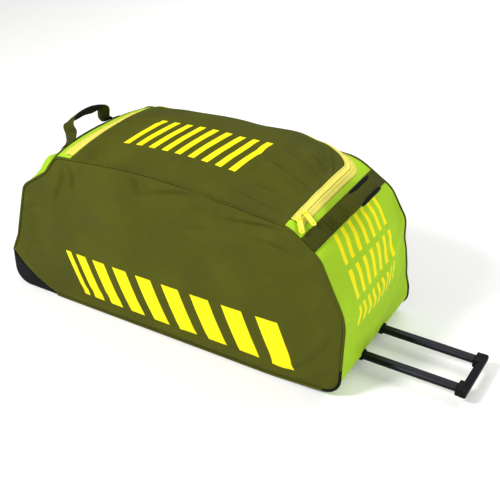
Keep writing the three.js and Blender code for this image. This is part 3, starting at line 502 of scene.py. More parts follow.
def hoop_frame(station, y, creased=True):
    """Points of the hoop with the directions along it, across it and out of it."""
    step = 2
    along = unit(hoop(station + step, y, creased) - hoop(station - step, y, creased))
    across = unit(hoop(station, y + step, creased) - hoop(station, y - step, creased))
    return hoop(station, y, creased), along, across, -unit(np.cross(along, across))


def seam_frame(station, sign):
    """Points of a side's seam with the direction out of it in side view."""
    edge = sign * half_width(outline.at(station)[1])
    point, along, _, _ = hoop_frame(station, edge)
    out = np.stack([along[..., 2], np.zeros_like(along[..., 0]), -along[..., 0]], axis=-1)
    return point, along, unit(out)


LID_START = station_on("lid", LID_HANDLE_EDGE)
LID_END = station_on("lid", LID_WHEEL_EDGE)
ZIP_WIDTH = 2 * ZIP_TAPE + ZIP_GAP
CORNER_Y = LID_FAR_EDGE - LID_CORNER
FRAME_RADIUS = LID_CORNER + ZIP_WIDTH + GAP
FRAME_REACH = LID_CORNER + (ZIP_WIDTH + GAP) * FAR_SLOPE
BASE_START = outline.where(0, BASE_WHEEL_EDGE, outline.end["wheel_heel"], outline.start["base_rise"])
BASE_END = outline.start["handle_heel"] - GAP
END_LOWER = station_on("wheel_end", HOUSING_TOP + 2 * GAP)
End = namedtuple("End", "lower lid_edge strap_top to_lid zip_y")
ENDS = {
    "handle_end": End(
        outline.start["handle_heel"] + GAP,
        LID_START,
        outline.where(0, STRAP_HANDLE_X, outline.middle["handle_shoulder"], LID_START),
        1,
        ZIP_HANDLE_Y,
    ),
    "wheel_end": End(
        END_LOWER,
        LID_END,
        outline.where(0, STRAP_WHEEL_X, LID_END, outline.middle["wheel_shoulder"]),
        -1,
        ZIP_WHEEL_Y,
    ),
}


def near_edge(station):
    return -(half_width(outline.at(station)[1]) - SEAM_INSET)


def steps_over(length, fineness=1.0):
    """How many mesh steps a length in millimetres takes on a panel of a given fineness."""
    return max(2, round(fineness * length * MM / bpy.context.scene.kit_bag_sizes.mesh_step))


# Meshes


def mesh_object(name, vertices, faces, uvs=None):
    """An object from points in millimetres, with smooth shading and loose UVs in metres."""
    mesh = bpy.data.meshes.new(name)
    mesh.from_pydata((np.asarray(vertices) * MM).tolist(), [], faces)
    if uvs is not None:
        layer = mesh.uv_layers.new(name="UVMap")
        corners = np.zeros(len(mesh.loops), int)
        mesh.loops.foreach_get("vertex_index", corners)
        layer.data.foreach_set("uv", (np.asarray(uvs) * MM)[corners].astype(np.float32).ravel())
    mesh.shade_smooth()
    made = bpy.data.objects.new(name, mesh)
    bpy.context.scene.collection.objects.link(made)
    return made


def grid_object(name, points, folded=None):
    """A sheet from rows and columns of points, facing out of the bag, with UVs along its two ways.

    The steps to its folded points, which fade out at its edges, are kept for when the cloth has settled."""
    rows, columns = points.shape[:2]
    i, j = np.meshgrid(np.arange(rows - 1), np.arange(columns - 1), indexing="ij")
    first = (i * columns + j).ravel()
    faces = np.stack([first, first + columns, first + columns + 1, first + 1], axis=1)
    middle = points[rows // 2, columns // 2]
    along = points[rows // 2 + 1, columns // 2] - points[rows // 2 - 1, columns // 2]
    across = points[rows // 2, columns // 2 + 1] - points[rows // 2, columns // 2 - 1]
    if np.dot(np.cross(along, across), middle - MIDDLE) < 0:
        faces = faces[:, ::-1]
    lengthways = np.linalg.norm(np.diff(points, axis=0), axis=2).mean(1)
    sideways = np.linalg.norm(np.diff(points, axis=1), axis=2).mean(0)
    u = np.concatenate([[0], np.cumsum(lengthways)])
    v = np.concatenate([[0], np.cumsum(sideways)])
    uvs = np.stack(np.meshgrid(u, v, indexing="ij"), axis=-1).reshape(-1, 2)
    made = mesh_object(name, points.reshape(-1, 3), faces.tolist(), uvs)
    made["flat"] = (float(u[-1] * MM), float(v[-1] * MM))
    if folded is not None:
        inward = [np.minimum(np.arange(n), np.arange(n)[::-1]) / FADE_ROWS for n in (rows, columns)]
        fade = np.clip(inward[0], 0, 1)[:, None, None] * np.clip(inward[1], 0, 1)[None, :, None]
        steps = made.data.attributes.new("fold", "FLOAT_VECTOR", "POINT")
        steps.data.foreach_set("vector", ((folded - points) * fade * MM).astype(np.float32).ravel())
    return made


def pin(cloth, shape, rows=2, more=None):
    """Marks the points near a sheet's four edges, and any more, as sewn down."""
    mask = np.zeros(shape, bool)
    mask[:rows] = mask[-rows:] = True
    mask[:, :rows] = mask[:, -rows:] = True
    if more is not None:
        mask |= more
    group = cloth.vertex_groups.new(name="sewn")
    group.add(np.flatnonzero(mask.ravel()).tolist(), 1.0, "REPLACE")


@contextmanager
def editing(mesh):
    """A mesh opened for changes and written back after them."""
    work = bmesh.new()
    work.from_mesh(mesh)
    yield work
    work.to_mesh(mesh)
    work.free()


def turn_outwards(made):
    """Points every face of a closed mesh out of it."""
    with editing(made.data) as work:
        bmesh.ops.recalc_face_normals(work, faces=work.faces[:])


def thicken(sheet, thickness):
    """Gives a sheet its thickness, inwards."""
    thick = sheet.modifiers.new("thickness", "SOLIDIFY")
    thick.thickness = thickness
    thick.offset = -1


def sweep_object(name, rings, capped=True):
    """A tube from rings of points, closed at both ends, with UVs round and along it."""
    rings = np.asarray(rings)
    count, size = rings.shape[:2]
    i, k = np.meshgrid(np.arange(count - 1), np.arange(size), indexing="ij")
    a = (i * size + k).ravel()
    b = (i * size + (k + 1) % size).ravel()
    faces = np.stack([a, b, b + size, a + size], axis=1).tolist()
    if capped:
        faces.append(list(range(size))[::-1])
        faces.append(list(range((count - 1) * size, count * size)))
    u = run_of(rings.mean(1))
    v = np.linalg.norm(rings[0] - np.roll(rings[0], -1, axis=0), axis=1).sum() * np.arange(size) / size
    uvs = np.stack(np.meshgrid(u, v, indexing="ij"), axis=-1).reshape(-1, 2)
    made = mesh_object(name, rings.reshape(-1, 3), faces, uvs)
    turn_outwards(made)
    return made


def lathe_object(name, profile, segments, place):
    """A ring turned about Y from a closed profile of radius and offset, set at a place."""
    turns = np.linspace(0, math.tau, segments, endpoint=False)
    radius, offset = np.asarray(profile, float).T
    rings = np.stack(
        [
            np.outer(np.cos(turns), radius),
            np.broadcast_to(offset, (segments, len(offset))),
            np.outer(np.sin(turns), radius),
        ],
        axis=-1,
    ) + np.asarray(place)
    rings = np.concatenate([rings, rings[:1]])
    made = sweep_object(name, rings, capped=False)
    with editing(made.data) as work:
        bmesh.ops.remove_doubles(work, verts=work.verts[:], dist=WELD * MM)
    turn_outwards(made)
    return made


def finished_copy(node_name, name, edge, segments=2):
    """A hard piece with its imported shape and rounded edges."""
    work = bmesh.new()
    work.from_mesh(frame["nodes"][node_name].data)
    bmesh.ops.remove_doubles(work, verts=work.verts[:], dist=PACKED_WELD * MM)
    bmesh.ops.dissolve_limit(
        work,
        angle_limit=math.radians(FLAT_ANGLE),
        verts=work.verts[:],
        edges=work.edges[:],
        use_dissolve_boundaries=False,
    )
    mesh = bpy.data.meshes.new(name)
    work.to_mesh(mesh)
    work.free()
    made = bpy.data.objects.new(name, mesh)
    bpy.context.scene.collection.objects.link(made)
    bevel = made.modifiers.new("rounded_edges", "BEVEL")
    bevel.width = edge * MM
    bevel.segments = segments
    bevel.limit_method = "ANGLE"
    bevel.angle_limit = math.radians(ROUNDED_ANGLE)
    bevel.use_clamp_overlap = True
    mesh.shade_smooth()
    mesh.set_sharp_from_angle(angle=math.radians(SHARP_ANGLE))
    return made


def hand_over(piece, material, slot, body="bag", nodes=()):
    """Gives a piece its material and its body, and hides the nodes that it stands for; its slot is not used.
    """
    piece.data.materials.clear()
    piece.data.materials.append(material)
    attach(piece, body)
    if nodes:
        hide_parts(*nodes)
    return piece


# Materials


def node(tree, kind, links=None, **settings):
    """Adds a node, sets its properties or inputs by name, and links outputs to its inputs."""
    made = tree.nodes.new(kind)
    for key, value in settings.items():
        if hasattr(made, key):
            setattr(made, key, value)
        else:
            made.inputs[key.replace("_", " ").title()].default_value = value
    for socket, source in (links or {}).items():
        if isinstance(source, bpy.types.NodeSocket):
            tree.links.new(source, made.inputs[socket])
        else:
            made.inputs[socket].default_value = source
    return made


# Threads, ribs and knitted loops are drawn coarser than real ones, so that they show in a picture.
Pattern = namedtuple("Pattern", "kind laid size settings turn stretch", defaults=({}, 0, (1, 1, 1)))
# A wave texture of scale one repeats its bands at this length.
WAVE_LENGTH = math.tau / 20


def laid(tree, pattern):
    """The grey of a pattern on UV or object coordinates, with features of a size in millimetres.

    It may be turned by degrees or stretched along the axes. Two patterns are multiplied."""
    if not isinstance(pattern, Pattern):
        first, second = (laid(tree, one) for one in pattern)
        return node(tree, "ShaderNodeMath", {0: first, 1: second}, operation="MULTIPLY").outputs[0]
    place = node(tree, "ShaderNodeTexCoord").outputs[pattern.laid]
    if pattern.turn or pattern.stretch != (1, 1, 1):
        turn = (0, 0, math.radians(pattern.turn))
        mapping = node(
            tree, "ShaderNodeMapping", {"Vector": place, "Rotation": turn, "Scale": pattern.stretch}
        )
        place = mapping.outputs["Vector"]
    scale = (WAVE_LENGTH if pattern.kind == "Wave" else 1) / (pattern.size * MM)
    texture = node(
        tree, f"ShaderNodeTex{pattern.kind}", {"Vector": place, "Scale": scale}, **pattern.settings
    )
    return texture.outputs["Distance" if pattern.kind == "Voronoi" else "Fac"]


def new_material(name):
    """An empty material with a Principled surface; returns it, its tree and its shader."""
    material = bpy.data.materials.get(name)
    if material:
        return material, None, None
    material = bpy.data.materials.new(name)
    material.use_nodes = True
    tree = material.node_tree
    tree.nodes.clear()
    shader = node(tree, "ShaderNodeBsdfPrincipled")
    output = node(tree, "ShaderNodeOutputMaterial")
    tree.links.new(shader.outputs["BSDF"], output.inputs["Surface"])
    return material, tree, shader


def patterned(name, constants, dark, light=None, tone=None, ends=(0, 1), worn=None, relief=None, bump=None):
    """A material with constants on its shader, and a tone and a relief that follow patterns.

    The tone runs from dark to light between two ends and may wear the gloss; the relief is a bump."""
    material, tree, shader = new_material(name)
    if tree is None:
        return material
    for socket, value in constants.items():
        shader.inputs[socket].default_value = value
    shade = laid(tree, tone) if tone else None
    if light is None:
        shader.inputs["Base Color"].default_value = (*dark, 1)
    else:
        blend = node(tree, "ShaderNodeValToRGB", {"Fac": shade})
        for element, position, colour in zip(blend.color_ramp.elements, ends, (dark, light)):
            element.position = position
            element.color = (*colour, 1)
        tree.links.new(blend.outputs["Color"], shader.inputs["Base Color"])
    if worn:
        rough = node(tree, "ShaderNodeMapRange", {"Value": shade, **worn})
        tree.links.new(rough.outputs["Result"], shader.inputs["Roughness"])
    if relief:
        height = shade if relief is tone else laid(tree, relief)
        lifted = node(tree, "ShaderNodeBump", {"Height": height, **bump})
        tree.links.new(lifted.outputs["Normal"], shader.inputs["Normal"])
    return material


def tinted(colour, share):
    return [channel * share for channel in colour]


# Print: rows of bars, in metres along and up a cloth.
Bars = namedtuple("Bars", "laid along up start length low high slant count power duty")
SIDE_BARS = [Bars("Object", "X", "Z", -0.222, 0.640, 0.042, 0.158, 0.42, 9, 0.74, 0.60)]
LID_BARS = [Bars("Object", "X", "Y", -0.150, 0.330, -0.075, 0.035, -0.36, 9, 1.0, 0.46)]
# Rows of upright bars on an end, by height above the print's foot, and how high that foot lies on each cloth.
EndRow = namedtuple("EndRow", "low high count")
END_ROWS = (EndRow(0.0, 0.052, 9), EndRow(0.070, 0.140, 7), EndRow(0.155, 0.230, 7))
END_PRINT_FOOT = {"handle_end": 0.164, "wheel_end": 0.055}
END_PRINT_START = 0.075
END_PRINT_LENGTH = 0.225
END_PRINT_DUTY = 0.42


def end_bars(foot):
    return [
        Bars(
            laid="UV",
            along="Y",
            up="X",
            start=END_PRINT_START,
            length=END_PRINT_LENGTH,
            low=foot + row.low,
            high=foot + row.high,
            slant=0,
            count=row.count,
            power=1,
            duty=END_PRINT_DUTY,
        )
        for row in END_ROWS
    ]


def bars_mask(tree, bars):
    """One inside slanted bars that grow narrower along a band, and nought elsewhere."""
    place = node(tree, "ShaderNodeTexCoord")
    axes = node(tree, "ShaderNodeSeparateXYZ", {"Vector": place.outputs[bars.laid]})
    up = axes.outputs[bars.up]
    along = axes.outputs[bars.along]
    lean = node(tree, "ShaderNodeMath", {0: up, 1: bars.slant, 2: along}, operation="MULTIPLY_ADD")
    share = node(
        tree,
        "ShaderNodeMath",
        {0: lean.outputs[0], 1: 1 / bars.length, 2: -bars.start / bars.length},
        operation="MULTIPLY_ADD",
    )
    grown = node(tree, "ShaderNodeMath", {0: share.outputs[0], 1: bars.power}, operation="POWER")
    counted = node(tree, "ShaderNodeMath", {0: grown.outputs[0], 1: bars.count}, operation="MULTIPLY")
    phase = node(tree, "ShaderNodeMath", {0: counted.outputs[0]}, operation="FRACT")
    half = bars.duty / 2
    bar = node(tree, "ShaderNodeMath", {0: phase.outputs[0], 1: half, 2: half}, operation="COMPARE")
    inside = node(tree, "ShaderNodeMath", {0: share.outputs[0], 1: 0.5, 2: 0.5}, operation="COMPARE")
    middle, reach = (bars.high + bars.low) / 2, (bars.high - bars.low) / 2
    band = node(tree, "ShaderNodeMath", {0: up, 1: middle, 2: reach}, operation="COMPARE")
    both = node(tree, "ShaderNodeMath", {0: bar.outputs[0], 1: inside.outputs[0]}, operation="MULTIPLY")
    mask = node(tree, "ShaderNodeMath", {0: both.outputs[0], 1: band.outputs[0]}, operation="MULTIPLY")
    return mask.outputs[0]


def coated_polyester(name, dark, light, bars=()):
    """Plain-weave polyester with a coated back: a matt, slightly waxy face with a fine even grain whose gaps
    are darkened with painted shade, soft mottling where it is handled, and print that sits in the weave."""
    if name in bpy.data.materials:
        return bpy.data.materials[name]
    pitch = bpy.context.scene.kit_bag_sizes.weave / MM
    material = patterned(
        name,
        {"Specular IOR Level": 0.1},
        dark,
        light,
        tone=Pattern("Noise", "Object", 110, {"detail": 4.0, "roughness": 0.55}),
        ends=(0.32, 0.70),
        worn={"From Min": 0.3, "From Max": 0.7, "To Min": 0.62, "To Max": 0.78},
        relief=[Pattern("Wave", "UV", pitch, {"bands_direction": way}) for way in "XY"],
        bump={"Strength": 0.22, "Distance": 0.4 * MM},
    )
    tree = material.node_tree
    shader = tree.nodes["Principled BSDF"]
    fine = shader.inputs["Normal"].links[0].from_node
    rumple = laid(tree, Pattern("Noise", "Object", 38, {"detail": 3.0, "roughness": 0.5}))
    soft = node(tree, "ShaderNodeBump", {"Height": rumple, "Strength": 0.16, "Distance": 4 * MM})
    tree.links.new(soft.outputs["Normal"], fine.inputs["Normal"])
    tone = shader.inputs["Base Color"].links[0].from_socket
    weave = fine.inputs["Height"].links[0].from_socket
    # The weave's height is laid over the colour: painted light on the raised threads and painted shade in the
    # gaps between them.
    weave_shade = node(
        tree, "ShaderNodeMix", {0: 0.10, 6: tone, 7: weave}, data_type="RGBA", blend_type="OVERLAY"
    )
    face = weave_shade.outputs[2]
    ink = (*bpy.context.scene.kit_bag_colours.printed, 1)
    for row in bars:
        inked = node(tree, "ShaderNodeMix", {0: bars_mask(tree, row), 6: face, 7: ink}, data_type="RGBA")
        face = inked.outputs[2]
    tree.links.new(face, shader.inputs["Base Color"])
    return material


def heavy_black_nylon():
    """Coarse base cloth with a wipe-clean coat: near black, with the threads catching a dull light."""
    black = bpy.context.scene.kit_bag_colours.black
    return patterned(
        "heavy_black_nylon",
        {"Roughness": 0.72, "Specular IOR Level": 0.25},
        black,
        [channel * 1.9 + 0.004 for channel in black],
        tone=Pattern("Noise", "Object", 45, {"detail": 6.0}),
        ends=(0.35, 0.75),
        relief=Pattern("Checker", "UV", 2),
        bump={"Strength": 0.4, "Distance": 0.5 * MM},
    )


def ribbed_tape():
    """Woven polyester zip tape: bright, slightly shiny ribs that run across it, with painted shade in the
    grooves between them.
    """
    tape = bpy.context.scene.kit_bag_colours.tape
    ribs = Pattern("Wave", "UV", 2.2, {"bands_direction": "X"})
    bump = {"Strength": 0.35, "Distance": 0.6 * MM}
    return patterned(
        # The ribs set the colour as well as the bump: painted shade darkens the tape in the grooves between
        # them.
        "ribbed_polyester_tape", {"Roughness": 0.55}, tinted(tape, 0.86), tape, ribs, relief=ribs, bump=bump
    )


def woven_webbing():
    """Flat woven webbing: firm slanted ribs, duller than the cloth, with painted light where they stand up
    and painted shade in the grooves between them.
    """
    olive = bpy.context.scene.kit_bag_colours.olive
    ribs = Pattern("Wave", "UV", 2.4, {"bands_direction": "X"}, turn=32)
    weave = [ribs, Pattern("Wave", "UV", 1.8, {"bands_direction": "Y"})]
    # The weave sets the colour as well as the bump: painted light on the raised ribs and painted shade in the
    # grooves.
    return patterned(
        "woven_polypropylene_webbing",
        {"Roughness": 0.74, "Specular IOR Level": 0.12},
        tinted(olive, 0.62),
        tinted(olive, 1.02),
        tone=weave,
        relief=weave,
        bump={"Strength": 0.55, "Distance": 0.7 * MM},
    )


def knitted_padding():
    """Knitted cover over foam: deep black with a soft nap and tiny open loops."""
    return patterned(
        "knitted_foam_padding",
        {"Roughness": 0.88, "Specular IOR Level": 0.2},
        tinted(bpy.context.scene.kit_bag_colours.black, 0.8),
        relief=Pattern("Voronoi", "UV", 2.4),
        bump={"Strength": 0.5, "Distance": 0.8 * MM},
    )


def moulded_plastic(name, roughness, grit):
    """Injection-moulded polypropylene: black, with a fine spark-eroded grain and dull highlights."""
    return patterned(
        name,
        {"Specular IOR Level": 0.08},
        bpy.context.scene.kit_bag_colours.black,
        tone=Pattern("Noise", "Object", 33, {"detail": 5.0}),
        worn={"From Min": 0.3, "From Max": 0.7, "To Min": roughness - 0.08, "To Max": roughness + 0.1},
        relief=Pattern("Noise", "Object", grit, {"detail": 2.0}),
        bump={"Strength": 0.12, "Distance": 0.4 * MM},
    )


def moulded_rubber():
    """Moulded rubber: charcoal, with dust in a fine grain and almost no gloss."""
    dust = Pattern("Noise", "Object", 17, {"detail": 6.0})
    bump = {"Strength": 0.15, "Distance": 0.6 * MM}
    black, grey = linear("121214"), linear("2a2a2b")
    return patterned("moulded_rubber", {"Roughness": 0.82}, black, grey, dust, relief=dust, bump=bump)


def anodised_aluminium():
    """Black anodised, drawn aluminium: a satin dark metal with faint lines along the draw."""
    width, length = 1.1, 250
    lines = Pattern("Noise", "Object", width, {"detail": 3.0}, stretch=(width / length, 1, 1))
    return patterned(
        "black_anodised_aluminium",
        {"Metallic": 0.85},
        linear("1c1d21"),
        tone=lines,
        worn={"To Min": 0.26, "To Max": 0.42},
        relief=lines,
        bump={"Strength": 0.05, "Distance": 0.2 * MM},
    )


def drawn_steel():
    """Bright drawn steel rod: a grey metal with a faint broken shine."""
    lines = Pattern("Noise", "Object", 2.5)
    worn = {"To Min": 0.25, "To Max": 0.45}
    return patterned("bright_drawn_steel", {"Metallic": 1.0}, linear("9a9da0"), tone=lines, worn=worn)


def enamelled_zinc():
    """Die-cast zinc with baked enamel: a thick glossy yellow coat with a faint orange peel."""
    return patterned(
        "enamelled_zinc",
        {"Roughness": 0.32, "Coat Weight": 0.3},
        bpy.context.scene.kit_bag_colours.enamel,
        relief=Pattern("Noise", "Object", 1.4),
        bump={"Strength": 0.08, "Distance": 0.2 * MM},
    )


def sewing_thread(name, colour):
    """Bonded polyester thread: a smooth twisted cord with a small highlight on each stitch."""
    twist = Pattern("Noise", "Object", 1.1)
    return patterned(name, {"Roughness": 0.5}, tinted(colour, 0.75), colour, twist)


def olive_cloth(bars=(), name="olive_coated_polyester"):
    olive = bpy.context.scene.kit_bag_colours.olive
    return coated_polyester(name, tinted(olive, 0.90), tinted(olive, 1.16), bars)


def lime_cloth(bars=(), name="lime_coated_polyester"):
    lime = bpy.context.scene.kit_bag_colours.lime
    return coated_polyester(name, tinted(lime, 0.93), tinted(lime, 1.06), bars)


# Cloth panels


def declare_panel(cloth, material, slot, node_name):
    """Hands a cloth panel over in place of the node that it was cut from."""
    hand_over(cloth, material, slot, nodes=[node_name])
    area = sum(polygon.area for polygon in cloth.data.polygons)


def wheel_sew_line(start, shift, end, shares):
    """The curve in X and Z where a side panel meets a wheel housing."""
    turn = np.array((SEW_LINE_X + shift, SEW_LINE_Z + shift))
    t = shares[:, None]
    return (1 - t) ** 2 * start + 2 * t * (1 - t) * turn + t**2 * end


def side_points(sign):
    """Rows and columns of a side panel between its four edges, swollen, without and with its folds."""
    toe = outline.where(0, HOUSING_TOE + SEW_GAP, outline.end["wheel_heel"], outline.start["base_rise"])
    heel, handle = outline.middle["handle_heel"], outline.middle["handle_shoulder"]
    wheel = outline.middle["wheel_shoulder"]
    columns = steps_over(wheel - handle, SIDE_FINENESS)
    rows = steps_over(LID_HEIGHT, SIDE_FINENESS)
    u, v = np.linspace(0, 1, columns + 1), np.linspace(0, 1, rows + 1)

    def inset(station):
        point, _, out = seam_frame(station, sign)
        return point - SEAM_INSET * out

    bottom, top = inset(toe + (heel - toe) * u), inset(wheel + (handle - wheel) * u)
    right = inset(heel + (handle - heel) * v)
    start, end = inset(np.array([toe, END_LOWER]))
    shares = np.linspace(0, 1, SEW_STEPS)
    curve = wheel_sew_line(start[[0, 2]], start[0] - HOUSING_TOE, end[[0, 2]], shares)
    runs = run_of(curve)
    split = runs[-1] / (runs[-1] + END_LOWER - wheel)
    along = np.clip(v / split, 0, 1) * runs[-1]
    x, z = np.interp(along, runs, curve[:, 0]), np.interp(along, runs, curve[:, 1])
    lower = np.stack([x, sign * half_width(z), z], axis=-1)
    upper = inset(END_LOWER + (wheel - END_LOWER) * np.clip((v - split) / (1 - split), 0, 1))
    left = np.where((v > split)[:, None], upper, lower)

    a, b = u[:, None, None], v[None, :, None]
    points = (1 - b) * bottom[:, None] + b * top[:, None] + (1 - a) * left[None] + a * right[None]
    points = points - (1 - a) * (1 - b) * bottom[0] - a * (1 - b) * bottom[-1]
    points = points - (1 - a) * b * top[0] - a * b * top[-1]
    swell = pillow(2 * u - 1, SIDE_PILLOW)[:, None] * pillow(2 * v - 1, SIDE_PILLOW)[None]
    x, z = points[..., 0], points[..., 2]
    hollows = {
        shape: sum(shape(fold, x - fold.place, z - fold.across_at) for fold in table if fold.on == "side")
        for table, shape in ((DENTS + BULGES, dent), (CREASES, crease))
    }
    points[..., 1] += sign * (SIDE_FULLNESS * swell - hollows[dent] * np.minimum(1, FOLD_REACH * swell))
    folded = points.copy()
    folded[..., 1] -= sign * hollows[crease]
    return points, folded


class KITBAG_OT_side_panels(bpy.types.Operator):
    """Build the two olive side panels"""

    bl_idname = "kitbag.side_panels"
    bl_label = "Side Panels"

    def execute(self, context):
        for side, sign in (("near", -1), ("far", 1)):
            points, folded = side_points(sign)
            cloth = grid_object(f"side_cloth_{side}", points, folded)
            pin(cloth, points.shape[:2])
            material = olive_cloth(SIDE_BARS, "olive_coated_polyester_side_print")
            declare_panel(cloth, material, "olive_cloth", f"side_panel_{side}")
        return {"FINISHED"}


class KITBAG_OT_lid(bpy.types.Operator):
    """Build the olive lid and the lime strip behind its zip"""

    bl_idname = "kitbag.lid"
    bl_label = "Lid"
    corner_steps = 12
    border_rows = 5

    def execute(self, context):
        radius = LID_CORNER - GAP
        turns = np.linspace(0, math.pi / 2, self.corner_steps)
        first = LID_START + LID_CORNER - radius * np.cos(turns)
        last = LID_END - LID_CORNER + radius * np.cos(turns[::-1])
        flat = np.linspace(first[-1], last[0], steps_over(LID_END - LID_START, LID_FINENESS))[1:-1]
        stations = np.concatenate([first, flat, last])
        far = CORNER_Y + radius * np.concatenate([np.sin(turns), np.ones(len(flat)), np.sin(turns[::-1])])
        shares = np.linspace(0, 1, steps_over(LID_FAR_EDGE - near_edge(LID_START), LID_FINENESS))
        y = near_edge(stations)[:, None] * (1 - shares) + far[:, None] * shares
        points = hoop(stations[:, None], y, False)
        lid = grid_object("lid_cloth", points, hoop(stations[:, None], y))
        pin(lid, points.shape[:2])
        material = olive_cloth(LID_BARS, "olive_coated_polyester_lid_print")
        declare_panel(lid, material, "olive_cloth", "lid_panel")

        inner = CORNER_Y + FRAME_REACH + GAP
        inset = LID_CORNER + GAP
        stations = np.linspace(LID_START + inset, LID_END - inset, steps_over(LID_END - LID_START))
        shares = np.linspace(0, 1, self.border_rows)
        y = inner * (1 - shares) - near_edge(stations)[:, None] * shares
        border = grid_object("lid_border_cloth", hoop(stations[:, None], y))
        declare_panel(border, lime_cloth(), "lime_cloth", "lid_border")
        return {"FINISHED"}


def end_points(end):
    """Rows and columns of an end panel from its lower edge past the strap to the zip, without and with
    its folds, and which of them lie under the strap."""
    far_y = -near_edge(LID_START)
    turns = np.linspace(0, math.pi / 2, FRAME_CORNER_STEPS)[1:]
    tab = np.linspace(-far_y, end.zip_y - GAP, TAB_COLUMNS)
    plain = np.linspace(end.zip_y, CORNER_Y, steps_over(CORNER_Y - end.zip_y))
    y = np.concatenate([tab, plain, CORNER_Y + FRAME_REACH * np.sin(turns), [far_y]])
    away = np.concatenate(
        [
            np.full(len(tab), GAP),
            np.full(len(plain), ZIP_WIDTH + GAP),
            FRAME_RADIUS * np.cos(turns) - LID_CORNER,
            [-LID_CORNER],
        ]
    )
    rows = np.linspace(end.lower, end.strap_top, steps_over(abs(end.strap_top - end.lower)))
    lower = -near_edge(rows)[:, None] * y / far_y
    shares = np.linspace(0, 1, ROWS_OVER_STRAP + 1)[1:, None]
    upper_edge = end.lid_edge - end.to_lid * away
    stations = end.strap_top * (1 - shares) + upper_edge * shares
    spread = (1 - shares) * -near_edge(end.strap_top) / far_y + shares
    stations = np.concatenate([np.broadcast_to(rows[:, None], lower.shape), stations])
    y = np.concatenate([lower, y * spread])
    strap_rows = np.concatenate([rows, np.full(ROWS_OVER_STRAP, end.strap_top)])
    from_top = end.to_lid * (end.strap_top - strap_rows)
    under_strap = (from_top > UNDER_STRAP[0]) & (from_top < UNDER_STRAP[1])
    under_strap = np.broadcast_to(under_strap[:, None], y.shape)
    points = hoop(stations, y, False)
    return points, np.where(under_strap[..., None], points, hoop(stations, y)), under_strap


class KITBAG_OT_end_panels(bpy.types.Operator):
    """Build the two lime end panels"""

    bl_idname = "kitbag.end_panels"
    bl_label = "End Panels"
    # How far round a runner the cloth is cut, and how far below it the opening reaches.
    beside_runner = 20 * MM
    below_runner = 12 * MM

    def execute(self, context):
        for name, node_name in (("handle_end", "end_panel_handle"), ("wheel_end", "end_panel_wheel")):
            points, folded, under_strap = end_points(ENDS[name])
            cloth = grid_object(f"{name}_cloth", points, folded)
            pin(cloth, points.shape[:2], more=under_strap)
            material = lime_cloth(end_bars(END_PRINT_FOOT[name]), f"lime_coated_polyester_{name}_print")
            if name == "handle_end":
                self.cut_openings(cloth)
            declare_panel(cloth, material, "lime_cloth", node_name)
        return {"FINISHED"}

    def cut_openings(self, cloth):
        """Removes the faces where the runners of the pull handle come through."""
        across, upward = Vector((0, 1, 0)), Vector((0, 0, 1))
        with editing(cloth.data) as work:
            for side in ("near", "far"):
                low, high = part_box(f"trolley_sleeve_{side}")
                for normal, value in ((across, low.y), (across, high.y), (upward, high.z)):
                    geometry = work.verts[:] + work.edges[:] + work.faces[:]
                    nearby = [element for element in geometry if self.beside(element, low, high)]
                    bmesh.ops.bisect_plane(work, geom=nearby, plane_co=normal * value, plane_no=normal)
                hole = [face for face in work.faces if self.inside(face.calc_center_median(), low, high)]
                bmesh.ops.delete(work, geom=hole, context="FACES")

    def beside(self, element, low, high):
        points = [element.co] if isinstance(element, bmesh.types.BMVert) else [v.co for v in element.verts]
        reach = self.beside_runner
        return all(low.y - reach < p.y < high.y + reach and p.z < high.z + reach for p in points)

    def inside(self, centre, low, high):
        return low.y < centre.y < high.y and low.z - self.below_runner < centre.z < high.z


class KITBAG_OT_base(bpy.types.Operator):
    """Build the black base and its turn-up between the wheels"""

    bl_idname = "kitbag.base"
    bl_label = "Base"

    def execute(self, context):
        rest = outline.start["base_rise"]
        stations = np.linspace(BASE_START, BASE_END, steps_over(BASE_END - BASE_START, BASE_FINENESS))
        edge = -near_edge(stations)[:, None]
        columns = steps_over(2 * HALF_WIDTH_BASE, BASE_FINENESS)
        points = hoop(stations[:, None], edge * np.linspace(-1, 1, columns))
        endways = np.minimum(stations - BASE_START, rest - stations)[:, None] / BASE_RAMP
        sideways = (edge - np.abs(points[..., 1])) / BASE_RAMP
        points[..., 2] -= FLOOR_LIFT * np.clip(np.minimum(endways, sideways), 0, 1)
        base = grid_object("base_cloth", points)
        declare_panel(base, heavy_black_nylon(), "black_cloth", "base_panel")

        reach = HOUSING_BACK_Y - GAP
        top, foot = station_on("wheel_end", HOUSING_TOP), outline.total + BASE_START
        stations = np.linspace(top, foot - GAP, steps_over(foot - top))
        points = hoop(stations[:, None], np.linspace(-reach, reach, steps_over(2 * reach)))
        skirt = grid_object("wheel_end_skirt_cloth", points)
        declare_panel(skirt, heavy_black_nylon(), "black_cloth", "wheel_end_skirt")
        return {"FINISHED"}


